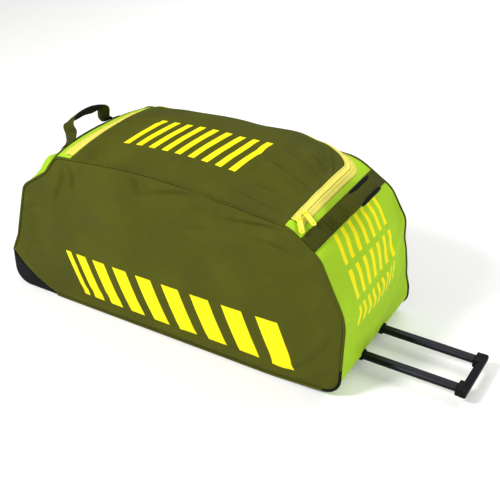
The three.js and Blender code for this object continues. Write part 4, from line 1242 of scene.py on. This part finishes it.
class KITBAG_OT_settle_cloth(bpy.types.Operator):
    """Let the spare cloth buckle between the seams, then give every panel its thickness"""

    bl_idname = "kitbag.settle_cloth"
    bl_label = "Settle Cloth"
    frames = 22
    most = 6 * MM
    ripples = 38
    ripple_height = 0.5 * MM
    cloth_settings = {
        "vertex_group_mass": "sewn",
        "quality": 6,
        "mass": 0.15,
        "tension_stiffness": 25,
        "compression_stiffness": 25,
        "shear_stiffness": 8,
        "bending_stiffness": 0.6,
        "use_pressure": True,
        "uniform_pressure_force": 0.6,
    }
    gravity = 0.4

    def execute(self, context):
        sizes = context.scene.kit_bag_sizes
        panels = [piece for piece in context.scene.objects if "flat" in piece]
        slack = [piece for piece in panels if "sewn" in piece.vertex_groups]
        self.simulate(context, slack, sizes.swell)
        for panel in panels:
            self.fold(panel.data)
            fine = panel.modifiers.new("fine", "SUBSURF")
            fine.levels = fine.render_levels = 1
            fine.boundary_smooth = "PRESERVE_CORNERS"
            thicken(panel, sizes.cloth)
        return {"FINISHED"}

    def simulate(self, context, slack, spare):
        """Lets the spare cloth of the sewn panels buckle, by no more than a few millimetres."""
        for cloth in slack:
            for vertex in cloth.data.vertices:
                away = noise.noise(vertex.co * self.ripples) * self.ripple_height
                vertex.co += vertex.normal * away
            modifier = cloth.modifiers.new("settle", "CLOTH")
            for name, value in self.cloth_settings.items():
                setattr(modifier.settings, name, value)
            modifier.settings.shrink_min = -spare
            modifier.settings.effector_weights.gravity = self.gravity
            modifier.collision_settings.use_collision = False
        rest = {cloth.name: self.places(cloth.data) for cloth in slack}
        for step in range(1, self.frames + 1):
            context.scene.frame_set(step)
        graph = context.evaluated_depsgraph_get()
        moved = {cloth.name: self.places(cloth.evaluated_get(graph).data) for cloth in slack}
        context.scene.frame_set(1)
        for cloth in slack:
            cloth.modifiers.remove(cloth.modifiers["settle"])
            step = moved[cloth.name] - rest[cloth.name]
            far = np.linalg.norm(step, axis=1, keepdims=True)
            step *= self.most * np.tanh(far / self.most) / np.maximum(far, 1e-9)
            cloth.data.vertices.foreach_set("co", (rest[cloth.name] + step).astype(np.float32).ravel())
            cloth.data.update()

    def fold(self, mesh):
        """Lays a sheet's kept folds into the settled cloth."""
        if "fold" in mesh.attributes:
            steps = np.zeros(3 * len(mesh.vertices), np.float32)
            mesh.attributes["fold"].data.foreach_get("vector", steps)
            mesh.vertices.foreach_set("co", self.places(mesh).ravel() + steps)
            mesh.attributes.remove(mesh.attributes["fold"])
            mesh.update()

    def places(self, mesh):
        found = np.zeros(3 * len(mesh.vertices), np.float32)
        mesh.vertices.foreach_get("co", found)
        return found.reshape(-1, 3)


# Zip, piping and webbing


def zip_edge(offset, step):
    """Stations and Ys along the lid's zipped edge, pushed out by an offset, from end to end."""
    radius = LID_CORNER + offset
    reach = LID_CORNER + offset * FAR_SLOPE
    start, end = LID_START + LID_CORNER, LID_END - LID_CORNER
    quarter = np.linspace(0, math.pi / 2, max(LEAST_CORNER_STEPS, round(LID_CORNER * math.pi / 2 / step)))
    first = np.linspace(ZIP_HANDLE_Y, CORNER_Y, round((CORNER_Y - ZIP_HANDLE_Y) / step))
    long = np.linspace(start, end, round((end - start) / step))
    last = np.linspace(CORNER_Y, ZIP_WHEEL_Y, round((CORNER_Y - ZIP_WHEEL_Y) / step))
    stations = [
        np.full(len(first), LID_START - offset),
        start - radius * np.cos(quarter[1:]),
        long[1:],
        end + radius * np.cos(quarter[::-1][1:]),
        np.full(len(last) - 1, LID_END + offset),
    ]
    ys = [
        first,
        CORNER_Y + reach * np.sin(quarter[1:]),
        np.full(len(long) - 1, CORNER_Y + reach),
        CORNER_Y + reach * np.sin(quarter[::-1][1:]),
        last[1:],
    ]
    return np.concatenate(stations), np.concatenate(ys)


class KITBAG_OT_zip(bpy.types.Operator):
    """Build the two halves of the zip, with the coil's ribs along their meeting edges"""

    bl_idname = "kitbag.zip"
    bl_label = "Zip"
    step = 0.8
    coil_pitch = 2.4
    # Columns across a half, as shares of the way from its plain edge to its coil.
    columns = (0, 0.25, 0.5, 0.62, 0.7, 0.78, 0.88, 0.95, 1.0)
    # Between which shares the coil rises, takes on its ribs and turns over.
    rising = (0.56, 0.8)
    ribbed = (0.6, 0.7)
    turning = (0.86, 1.0)
    rib_height = 0.22
    turn_depth = 0.9

    def execute(self, context):
        halves = (("lid", GAP, ZIP_TAPE), ("frame", ZIP_WIDTH, ZIP_TAPE + ZIP_GAP))
        for name, plain, meeting in halves:
            columns = []
            for share in self.columns:
                stations, y = zip_edge(plain + (meeting - plain) * share, self.step)
                point, _, _, out = hoop_frame(stations, y, creased=False)
                rise, ribbed, turn = (
                    np.interp(share, span, (0, 1)) for span in (self.rising, self.ribbed, self.turning)
                )
                lift = ZIP_RIDGE * math.sin(math.pi / 2 * rise) - self.turn_depth * turn**2
                along = np.arange(len(y)) * self.step
                rib = self.rib_height * ribbed * np.cos(math.tau * along / self.coil_pitch)
                columns.append(point + out * (lift + rib)[:, None])
            tape = grid_object(f"zip_half_{name}", np.stack(columns, axis=1))
            del tape["flat"]
            thicken(tape, context.scene.kit_bag_sizes.tape)
            hand_over(tape, ribbed_tape(), "zip_tape", nodes=[f"zip_tape_{name}"])
        return {"FINISHED"}


class KITBAG_OT_zip_fittings(bpy.types.Operator):
    """Build the enamelled sliders and their holed pulls"""

    bl_idname = "kitbag.zip_fittings"
    bl_label = "Zip Fittings"
    slider_edge = 0.9
    pull_edge = 0.5

    def execute(self, context):
        for key in ("a", "b"):
            slider = finished_copy(f"zip_slider_{key}", f"slider_{key}", self.slider_edge, segments=3)
            hand_over(slider, enamelled_zinc(), "zip_metal", nodes=[f"zip_slider_{key}"])
            pull = finished_copy(f"zip_pull_{key}", f"pull_{key}", self.pull_edge)
            hand_over(pull, enamelled_zinc(), "zip_metal", nodes=[f"zip_pull_{key}"])
        return {"FINISHED"}


def bead_object(name, sign, stations, radius):
    point, _, out = seam_frame(stations, sign)
    turns = np.linspace(0, math.tau, BEAD_SIDES, endpoint=False)[None, :, None]
    across = np.array((0, 1, 0))
    width = np.broadcast_to(radius, stations.shape)[:, None, None]
    rings = point[:, None] + width * (np.cos(turns) * across + np.sin(turns) * out[:, None])
    return sweep_object(name, rings)


class KITBAG_OT_piping(bpy.types.Operator):
    """Build the beads on the seams"""

    bl_idname = "kitbag.piping"
    bl_label = "Piping"
    step = 5
    drawn_in = 24
    drawn_size = 0.75
    ease = 20

    def execute(self, context):
        turn = station_on("handle_end", CORNER_BEAD_TOP)
        heel = outline.start["handle_heel"] + GAP
        black = moulded_plastic("moulded_polypropylene_trim", roughness=0.5, grit=0.8)
        runs = (
            ("piping", turn + GAP / 2, END_LOWER, olive_cloth(), "olive_cloth"),
            ("corner_bead", heel, turn - GAP / 2, black, "black_plastic"),
            ("base_piping", BASE_START, BASE_END, olive_cloth(), "olive_cloth"),
        )
        for side, sign in (("near", -1), ("far", 1)):
            for name, start, end, material, slot in runs:
                stations = np.linspace(start, end, round((end - start) / self.step))
                radius = np.full(len(stations), float(BEAD_RADIUS))
                if name == "piping" and side == "near":
                    edges = ((LID_START, -1), (LID_START, 1), (LID_END, -1), (LID_END, 1))
                    marks = [station + way * self.ease for station, way in edges]
                    sizes = (BEAD_RADIUS, CREASE_BEAD_RADIUS, CREASE_BEAD_RADIUS, BEAD_RADIUS)
                    radius = eased(stations, marks, sizes)
                if name == "piping":
                    radius = radius * eased(stations, (end - self.drawn_in, end), (1, self.drawn_size))
                bead = bead_object(f"{name}_bead_{side}", sign, stations, radius)
                hand_over(bead, material, slot, nodes=[f"{name}_{side}"])
        return {"FINISHED"}


def strap_points(end, rows):
    stations = end.strap_top - end.to_lid * np.linspace(0, STRAP_WIDTH, rows)
    y = near_edge(stations)[:, None] * np.linspace(1, -1, STRAP_COLUMNS)
    point, _, _, out = hoop_frame(stations[:, None], y, creased=False)
    return point, out


class KITBAG_OT_straps(bpy.types.Operator):
    """Build the webbing bands across the two ends"""

    bl_idname = "kitbag.straps"
    bl_label = "Straps"
    rows = 9

    def execute(self, context):
        thickness = context.scene.kit_bag_sizes.webbing
        for name, end in ENDS.items():
            point, out = strap_points(end, self.rows)
            strap = grid_object(f"strap_webbing_{name}", point + out * (2 * GAP + thickness / MM))
            del strap["flat"]
            thicken(strap, thickness)
            hand_over(strap, woven_webbing(), "webbing", nodes=[f"strap_{name}"])
        return {"FINISHED"}


def smooth_path(points, count):
    """Even steps along a rounded curve through points."""
    points = np.asarray(points, float)
    reach = np.sqrt(np.linalg.norm(np.diff(points, axis=0), axis=1))
    knots = np.concatenate([[0], np.cumsum(reach)])
    slopes = np.gradient(points, knots, axis=0)
    t = np.linspace(0, knots[-1], PATH_STEPS)
    i = np.clip(np.searchsorted(knots, t, side="right") - 1, 0, len(knots) - 2)
    span = (knots[i + 1] - knots[i])[:, None]
    s = ((t - knots[i]) / span[:, 0])[:, None]
    fine = (
        (2 * s**3 - 3 * s**2 + 1) * points[i]
        + (s**3 - 2 * s**2 + s) * span * slopes[i]
        + (3 * s**2 - 2 * s**3) * points[i + 1]
        + (s**3 - s**2) * span * slopes[i + 1]
    )
    run = run_of(fine)
    return places_along(np.linspace(0, run[-1], count), run, fine)


def loop_frames(end, pose):
    """Points along a standing loop, with the directions across its band and towards its inner side."""
    station = end.strap_top - end.to_lid * STRAP_WIDTH / 2
    thickness = bpy.context.scene.kit_bag_sizes.webbing / MM
    lift = 2 * GAP + thickness + GAP + thickness / 2
    lean = math.radians(pose.lean)
    rise = np.array((math.sin(lean), 0, math.cos(lean)))
    half = [Rise(row.y, pose.tall * row.height) for row in LOOP_RISE]
    apex = half[-1].height
    rows = [Rise(-row.y, row.height * (1 + pose.sag * (1 - row.height / apex))) for row in half]
    rows += [Rise(row.y, row.height * (1 - pose.sag)) for row in half[-2::-1]]
    y = np.array([row.y for row in rows], float)
    height = np.array([row.height for row in rows], float)
    point, _, _, out = hoop_frame(np.full(len(y), station), y, creased=False)
    first = np.minimum(height, pose.square)[:, None]
    path = smooth_path(point + out * (lift + first) + rise * (height[:, None] - first), LOOP_STEPS + 1)
    tangent = unit(np.gradient(path, axis=0))
    reach = LOOP_RISE[0].y
    inside = np.clip(path[:, 1], -reach, reach)
    _, across, _, _ = hoop_frame(np.full(len(path), station), inside, creased=False)
    high = np.clip((path - hoop(station, reach, False)) @ rise / apex, 0, 1)
    roll = math.radians(pose.twist) * smooth(high)
    x, y, z = across.T
    across = np.stack([x * np.cos(roll) + z * np.sin(roll), y, z * np.cos(roll) - x * np.sin(roll)], axis=-1)
    across = unit(across - (across * tangent).sum(1, keepdims=True) * tangent)
    inward = unit(np.cross(across, tangent))
    middle = len(path) // 2
    if np.dot(inward[middle], point[len(rows) // 2] - path[middle]) < 0:
        inward = -inward
    return path, across, inward


class KITBAG_OT_grab_handles(bpy.types.Operator):
    """Build the standing loops of webbing and the pads inside them"""

    bl_idname = "kitbag.grab_handles"
    bl_label = "Grab Handles"
    foot_width = 40
    apex_width = 27
    pad_thickness = 11
    section_points = 40
    # Between which distances from its middle the band narrows.
    narrowing = (20, 66)
    # Section of the band with soft corners, by half its width and by its thickness.
    band_edge = ((1, 0.3), (0.96, 0.5))
    # How square the pad's section is across and through, how fast its ends draw in, and to what.
    squareness = (0.55, 0.7)
    end_power = 6
    end_thickness = 0.12
    end_width = 0.9
    # How far beside the band the pad begins to stand up, and over what width.
    lip_start = 0.5
    lip_width = 2.5

    def execute(self, context):
        thickness = context.scene.kit_bag_sizes.webbing / MM
        quarter = np.array(self.band_edge)
        upper = np.concatenate([quarter * (-1, 1), quarter[::-1]])
        edges = np.concatenate([upper, upper[::-1] * (1, -1)])
        for name, end in ENDS.items():
            path, across, inward = loop_frames(end, LOOP_POSE[name])
            narrow = np.interp(np.abs(path[:, 1]), self.narrowing, (1, 0))
            width = self.foot_width + (self.apex_width - self.foot_width) * smooth(narrow)
            rings = path[:, None] + edges[None, :, :1] * across[:, None] * width[:, None, None] / 2
            rings = rings + edges[None, :, 1:] * inward[:, None] * thickness
            band = sweep_object(f"loop_webbing_{name}", rings)
            band.data.set_sharp_from_angle(angle=math.radians(BAND_SHARP_ANGLE))
            hand_over(band, woven_webbing(), "webbing", nodes=[f"grab_handle_{name}"])

            inside = np.abs(path[:, 1]) < PAD_HALF_LENGTH
            self.pad(name, path[inside], across[inside], inward[inside], width[inside] / 2, thickness)
        return {"FINISHED"}

    def pad(self, name, path, across, inward, band, thickness):
        """A foam pad, full in its middle, drawn in at its sewn ends and standing up beside the band."""
        turns = np.linspace(0, math.tau, self.section_points, endpoint=False)
        a, b = (
            np.sign(wave) * np.abs(wave) ** power / 2
            for wave, power in zip((np.cos(turns), np.sin(turns)), self.squareness)
        )
        a = a * PAD_WIDTH
        shares = np.linspace(-1, 1, len(path))
        full = np.sqrt(np.clip(pillow(shares, self.end_power), self.end_thickness, 1))
        middle = thickness / 2 + GAP / 2 + self.pad_thickness / 2 * full
        drawn = self.end_width + (1 - self.end_width) * full
        rings = path[:, None] + a[None, :, None] * across[:, None] * drawn[:, None, None]
        depth = middle[:, None] + b[None] * (self.pad_thickness * full)[:, None]
        beside = np.clip((np.abs(a)[None] - band[:, None] - self.lip_start) / self.lip_width, 0, 1)
        depth = depth - (thickness + GAP) * beside * (0.5 - b[None]) * full[:, None]
        rings = rings + depth[..., None] * inward[:, None]
        pad = sweep_object(f"loop_pad_{name}", rings)
        hand_over(pad, knitted_padding(), "grip_pad", nodes=[f"grip_pad_{name}"])


# Stitching

STITCH_SIDES = 6
STITCH_SHARE = 0.8
AHEAD = 0.5
# Sections of a stitch: the place along it, its thickness, and its height over the cloth in threads.
Section = namedtuple("Section", "stop fat dip")
STITCH = (
    Section(-0.5, 0.25, -0.6),
    Section(-0.4, 0.8, 0.0),
    Section(0, 1.0, 0.25),
    Section(0.4, 0.8, 0.0),
    Section(0.5, 0.25, -0.6),
)


def stitch_object(name, lines, colour, slot):
    """One mesh of short threads along lines of points, each line with its directions out of the cloth."""
    sizes = bpy.context.scene.kit_bag_sizes
    pitch, thread = sizes.stitch / MM, sizes.thread / MM
    rounds = np.linspace(0, math.tau, STITCH_SIDES, endpoint=False)
    vertices, faces = [], []
    for points, outs in lines:
        run = run_of(points)
        centres = np.arange(pitch, run[-1] - pitch / 2, pitch)
        place = places_along(centres, run, points)
        out = unit(places_along(centres, run, outs))
        along = unit(places_along(centres + AHEAD, run, points) - place)
        across = unit(np.cross(along, out))
        ring = np.cos(rounds)[:, None, None] * across + np.sin(rounds)[:, None, None] * out
        for centre in range(len(centres)):
            first = len(vertices)
            for stop, fat, dip in STITCH:
                ahead, above = along[centre] * stop * pitch * STITCH_SHARE, out[centre] * dip * thread
                middle = place[centre] + ahead + above
                vertices.extend(middle + ring[:, centre] * fat * thread / 2)
            size = STITCH_SIDES
            last = first + (len(STITCH) - 1) * size
            for start in range(first, last, size):
                for k in range(size):
                    a, b = start + k, start + (k + 1) % size
                    faces.append((a, b, b + size, a + size))
            faces.append(tuple(range(first, first + size))[::-1])
            faces.append(tuple(range(last, last + size)))
    made = mesh_object(name, np.array(vertices), faces)
    turn_outwards(made)
    return hand_over(made, sewing_thread(f"polyester_thread_{name}", colour), slot)


class KITBAG_OT_stitching(bpy.types.Operator):
    """Sew the zip, the straps and the feet of the loops"""

    bl_idname = "kitbag.stitching"
    bl_label = "Stitching"
    zip_inset = 3.0
    zip_step = 4
    zip_lift = 0.35
    strap_rows = 22
    sewn_rows = (2, 19)
    strap_lift = 0.25
    # A foot's box, from Y to Y and half across, its height in thicknesses of webbing, and its points a line.
    foot_reach = (76, 93)
    foot_half = 16
    foot_lift = 0.65
    foot_steps = 12

    def execute(self, context):
        colours = context.scene.kit_bag_colours
        lines = []
        for offset in (self.zip_inset, ZIP_WIDTH - self.zip_inset):
            stations, y = zip_edge(offset, self.zip_step)
            point, _, _, out = hoop_frame(stations, y, creased=False)
            lines.append((point + out * self.zip_lift, out))
        stitch_object("zip_stitching", lines, tinted(colours.tape, 0.8), "zip_tape")
        thickness = context.scene.kit_bag_sizes.webbing / MM
        lines = []
        for name, end in ENDS.items():
            point, out = strap_points(end, self.strap_rows)
            top = 2 * GAP + thickness + self.strap_lift
            lines.extend((point[row] + out[row] * top, out[row]) for row in self.sewn_rows)
            lines.extend(self.feet(end, LOOP_POSE[name], thickness))
        stitch_object("webbing_stitching", lines, tinted(colours.olive, 0.7), "webbing")
        return {"FINISHED"}

    def feet(self, end, pose, thickness):
        """A box with a cross through it on each foot of a loop."""
        path, across, inward = loop_frames(end, pose)
        low, high = self.foot_reach
        for sign in (-1, 1):
            flat = np.flatnonzero((sign * path[:, 1] > low) & (sign * path[:, 1] < high))
            start, stop = flat[0], flat[-1]
            out = -inward[(start + stop) // 2]
            corners = [
                path[i] + across[i] * side * self.foot_half + out * thickness * self.foot_lift
                for i, side in ((start, -1), (start, 1), (stop, 1), (stop, -1))
            ]
            for a, b in ((0, 1), (1, 2), (2, 3), (3, 0), (0, 2), (1, 3)):
                points = np.linspace(corners[a], corners[b], self.foot_steps)
                yield points, np.broadcast_to(out, points.shape)


# Wheels and pull handle


def mirrored(profile):
    """A profile of radius and offset, followed by its mirror image."""
    return profile + [(radius, -offset) for radius, offset in reversed(profile)]


def black_moulding():
    return moulded_plastic("moulded_polypropylene", roughness=0.46, grit=0.9)


class KITBAG_OT_wheels(bpy.types.Operator):
    """Build the housings, tyres, hubs and axles"""

    bl_idname = "kitbag.wheels"
    bl_label = "Wheels"
    segments = 96
    axle_segments = 48
    housing_edge = 1.6
    core = 0.01
    chamfer = 0.6
    tyre_depth = 9
    rim_gap = 0.6
    shoulder = 4
    shoulder_steps = 6
    groove_at = 5
    groove_depth = 1.5
    groove_mouth = 1.4
    groove_floor = 0.9
    bore = 5.4
    boss = 13
    web = 4
    fillet = 2
    dish = 2.4
    rim_depth = 5
    rim_set_in = 3
    rim_chamfer = 0.4

    def execute(self, context):
        plastic = black_moulding()
        for side in ("near", "far"):
            body = f"wheel_{side}"
            node_name = f"wheel_housing_{side}"
            housing = finished_copy(node_name, f"corner_housing_{side}", self.housing_edge, segments=3)
            hand_over(housing, plastic, "black_plastic", nodes=[node_name])
            place, radius, half = self.measures(f"wheel_tyre_{side}")
            tyre = lathe_object(f"tyre_{side}", self.tyre_profile(radius, half), self.segments, place)
            hand_over(tyre, moulded_rubber(), "tyre", body, [f"wheel_tyre_{side}"])
            rim = radius - self.tyre_depth - self.rim_gap
            _, _, half = self.measures(f"wheel_hub_{side}")
            hub = lathe_object(f"hub_{side}", self.hub_profile(rim, half), self.segments, place)
            hand_over(hub, plastic, "black_plastic", body, [f"wheel_hub_{side}"])
            place, rod, half = self.measures(f"axle_{side}")
            profile = mirrored([(self.core, -half), (rod - self.chamfer, -half), (rod, -half + self.chamfer)])
            axle = lathe_object(f"axle_rod_{side}", profile, self.axle_segments, place)
            hand_over(axle, drawn_steel(), "axle", nodes=[f"axle_{side}"])
        return {"FINISHED"}

    def measures(self, node_name):
        """The middle, radius and half width of a round node, in millimetres."""
        low, high = (np.array(corner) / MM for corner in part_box(node_name))
        return (low + high) / 2, (high[0] - low[0]) / 2, (high[1] - low[1]) / 2

    def tyre_profile(self, radius, half):
        """A tread with round shoulders and two grooves."""
        rounded = [
            (
                radius - self.shoulder * (1 - math.cos(turn)),
                -half + self.shoulder * (1 + math.sin(turn)),
            )
            for turn in np.linspace(-math.pi / 2, 0, self.shoulder_steps)
        ]
        floor = radius - self.groove_depth
        groove = [
            (radius, -self.groove_at - self.groove_mouth),
            (floor, -self.groove_at - self.groove_floor),
            (floor, -self.groove_at + self.groove_floor),
            (radius, -self.groove_at + self.groove_mouth),
        ]
        return mirrored([(radius - self.tyre_depth, -half), *rounded, *groove])

    def hub_profile(self, radius, half):
        """A rim and a boss joined by a dished web."""
        inner, edge = radius - self.rim_depth, -half + self.rim_set_in
        return mirrored(
            [
                (self.bore, -half),
                (self.boss - self.chamfer, -half),
                (self.boss, -half + self.chamfer),
                (self.boss, -self.web - self.fillet),
                (self.boss + self.fillet, -self.web),
                (inner - self.chamfer - self.dish, -self.web),
                (inner - self.chamfer, -self.web - self.fillet),
                (inner, edge + self.rim_chamfer),
                (inner + self.rim_chamfer, edge),
                (radius, edge),
            ]
        )


class KITBAG_OT_pull_handle(bpy.types.Operator):
    """Build the runners, tubes and grip of the pull handle"""

    bl_idname = "kitbag.pull_handle"
    bl_label = "Pull Handle"
    runner_edge = 0.6
    tube_edge = 0.7
    grip_edge = 1.8

    def execute(self, context):
        plastic = black_moulding()
        for side in ("near", "far"):
            runner = finished_copy(f"trolley_sleeve_{side}", f"runner_{side}", self.runner_edge)
            hand_over(runner, plastic, "black_plastic", nodes=[f"trolley_sleeve_{side}"])
            tube = finished_copy(f"trolley_tube_{side}", f"drawn_tube_{side}", self.tube_edge, segments=3)
            hand_over(tube, anodised_aluminium(), "trolley_tube", "trolley", [f"trolley_tube_{side}"])
        grip = finished_copy("trolley_grip", "moulded_grip", self.grip_edge, segments=3)
        hand_over(grip, plastic, "black_plastic", "trolley", ["trolley_grip"])
        return {"FINISHED"}


Softbox = namedtuple("Softbox", "name place target size power")
SOFTBOXES = (
    Softbox("key_softbox", (-1.1, -2.3, 2.6), (0.1, 0, 0.2), 0.8, 110),
    Softbox("fill_softbox", (2.8, -0.7, 1.5), (0.1, 0, 0.2), 1.5, 24),
    Softbox("backdrop_softbox", (0.9, 2.7, 2.6), (0.9, 2.7, 0), 4.0, 100),
)


class KITBAG_OT_stage(bpy.types.Operator):
    """Lay the pale floor, hang the soft lights and set the camera"""

    bl_idname = "kitbag.stage"
    bl_label = "Stage"
    floor_half = 12000
    floor_drop = 0.4
    floor_constants = {"Roughness": 0.9, "Emission Strength": 0.1}
    sky_strength = 0.25
    sensor = 36

    def execute(self, context):
        stage = context.scene.kit_bag_stage
        context.scene.view_settings.view_transform = "Standard"
        self.floor(stage)
        for softbox in SOFTBOXES:
            self.light(softbox)
        world = bpy.data.worlds.new("studio")
        world.use_nodes = True
        sky = world.node_tree.nodes["Background"]
        sky.inputs["Color"].default_value = (1, 1, 1, 1)
        sky.inputs["Strength"].default_value = self.sky_strength
        context.scene.world = world
        self.camera(context, stage)
        return {"FINISHED"}

    def floor(self, stage):
        """A matt painted floor: a pale, even sheet with a soft shadow."""
        ways = ((-1, -1), (1, -1), (1, 1), (-1, 1))
        corners = [(x * self.floor_half, y * self.floor_half, -self.floor_drop) for x, y in ways]
        floor = mesh_object("floor", corners, [(0, 1, 2, 3)])
        material = patterned("painted_floor", self.floor_constants, stage.floor)
        shader = material.node_tree.nodes["Principled BSDF"]
        shader.inputs["Emission Color"].default_value = (*stage.floor, 1)
        floor.data.materials.append(material)
        floor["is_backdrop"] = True

    def light(self, softbox):
        data = bpy.data.lights.new(softbox.name, "AREA")
        data.energy = softbox.power
        data.size = softbox.size
        lamp = bpy.data.objects.new(softbox.name, data)
        lamp.location = softbox.place
        aim = Vector(softbox.target) - Vector(softbox.place)
        lamp.rotation_euler = aim.to_track_quat("-Z", "Y").to_euler()
        bpy.context.scene.collection.objects.link(lamp)

    def camera(self, context, stage):
        data = bpy.data.cameras.new("camera")
        data.lens = stage.lens
        data.sensor_width = self.sensor
        eye = bpy.data.objects.new("camera", data)
        turn, lift = stage.azimuth, stage.elevation
        back = Vector((math.sin(turn) * math.cos(lift), -math.cos(turn) * math.cos(lift), math.sin(lift)))
        eye.location = Vector(stage.target) + back * stage.distance
        eye.rotation_euler = (-back).to_track_quat("-Z", "Y").to_euler()
        context.scene.collection.objects.link(eye)
        context.scene.camera = eye


class KITBAG_PT_sidebar(bpy.types.Panel):
    """Lists the bag's pieces, sizes and colours"""

    bl_idname = "KITBAG_PT_sidebar"
    bl_label = "Kit Bag"
    bl_space_type = "VIEW_3D"
    bl_region_type = "UI"
    bl_category = "Kit Bag"

    def draw(self, context):
        for group_name in GROUPS:
            group = getattr(context.scene, group_name)
            for name in group.__annotations__:
                self.layout.prop(group, name)
        for operator in OPERATORS:
            self.layout.operator(operator.bl_idname)


OPERATORS = (
    KITBAG_OT_side_panels,
    KITBAG_OT_lid,
    KITBAG_OT_end_panels,
    KITBAG_OT_base,
    KITBAG_OT_settle_cloth,
    KITBAG_OT_zip,
    KITBAG_OT_zip_fittings,
    KITBAG_OT_piping,
    KITBAG_OT_straps,
    KITBAG_OT_grab_handles,
    KITBAG_OT_stitching,
    KITBAG_OT_wheels,
    KITBAG_OT_pull_handle,
    KITBAG_OT_stage,
)
GROUPS = {"kit_bag_sizes": KitBagSizes, "kit_bag_colours": KitBagColours, "kit_bag_stage": KitBagStage}


def register():
    for group in GROUPS.values():
        bpy.utils.register_class(group)
    for operator in OPERATORS:
        bpy.utils.register_class(operator)
    bpy.utils.register_class(KITBAG_PT_sidebar)
    for name, group in GROUPS.items():
        setattr(bpy.types.Scene, name, bpy.props.PointerProperty(type=group))


def unregister():
    for name in GROUPS:
        delattr(bpy.types.Scene, name)
    for registered in (KITBAG_PT_sidebar, *OPERATORS, *GROUPS.values()):
        bpy.utils.unregister_class(registered)


def main():
    """Builds every piece in order."""
    register()
    for operator in OPERATORS:
        group, name = operator.bl_idname.split(".")
        getattr(getattr(bpy.ops, group), name)()
    boxes = {"cad": CAD_BOX, "visual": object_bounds()}
    {name: [list(corner) for corner in box] for name, box in boxes.items()}


if __name__ == "__main__":
    main()
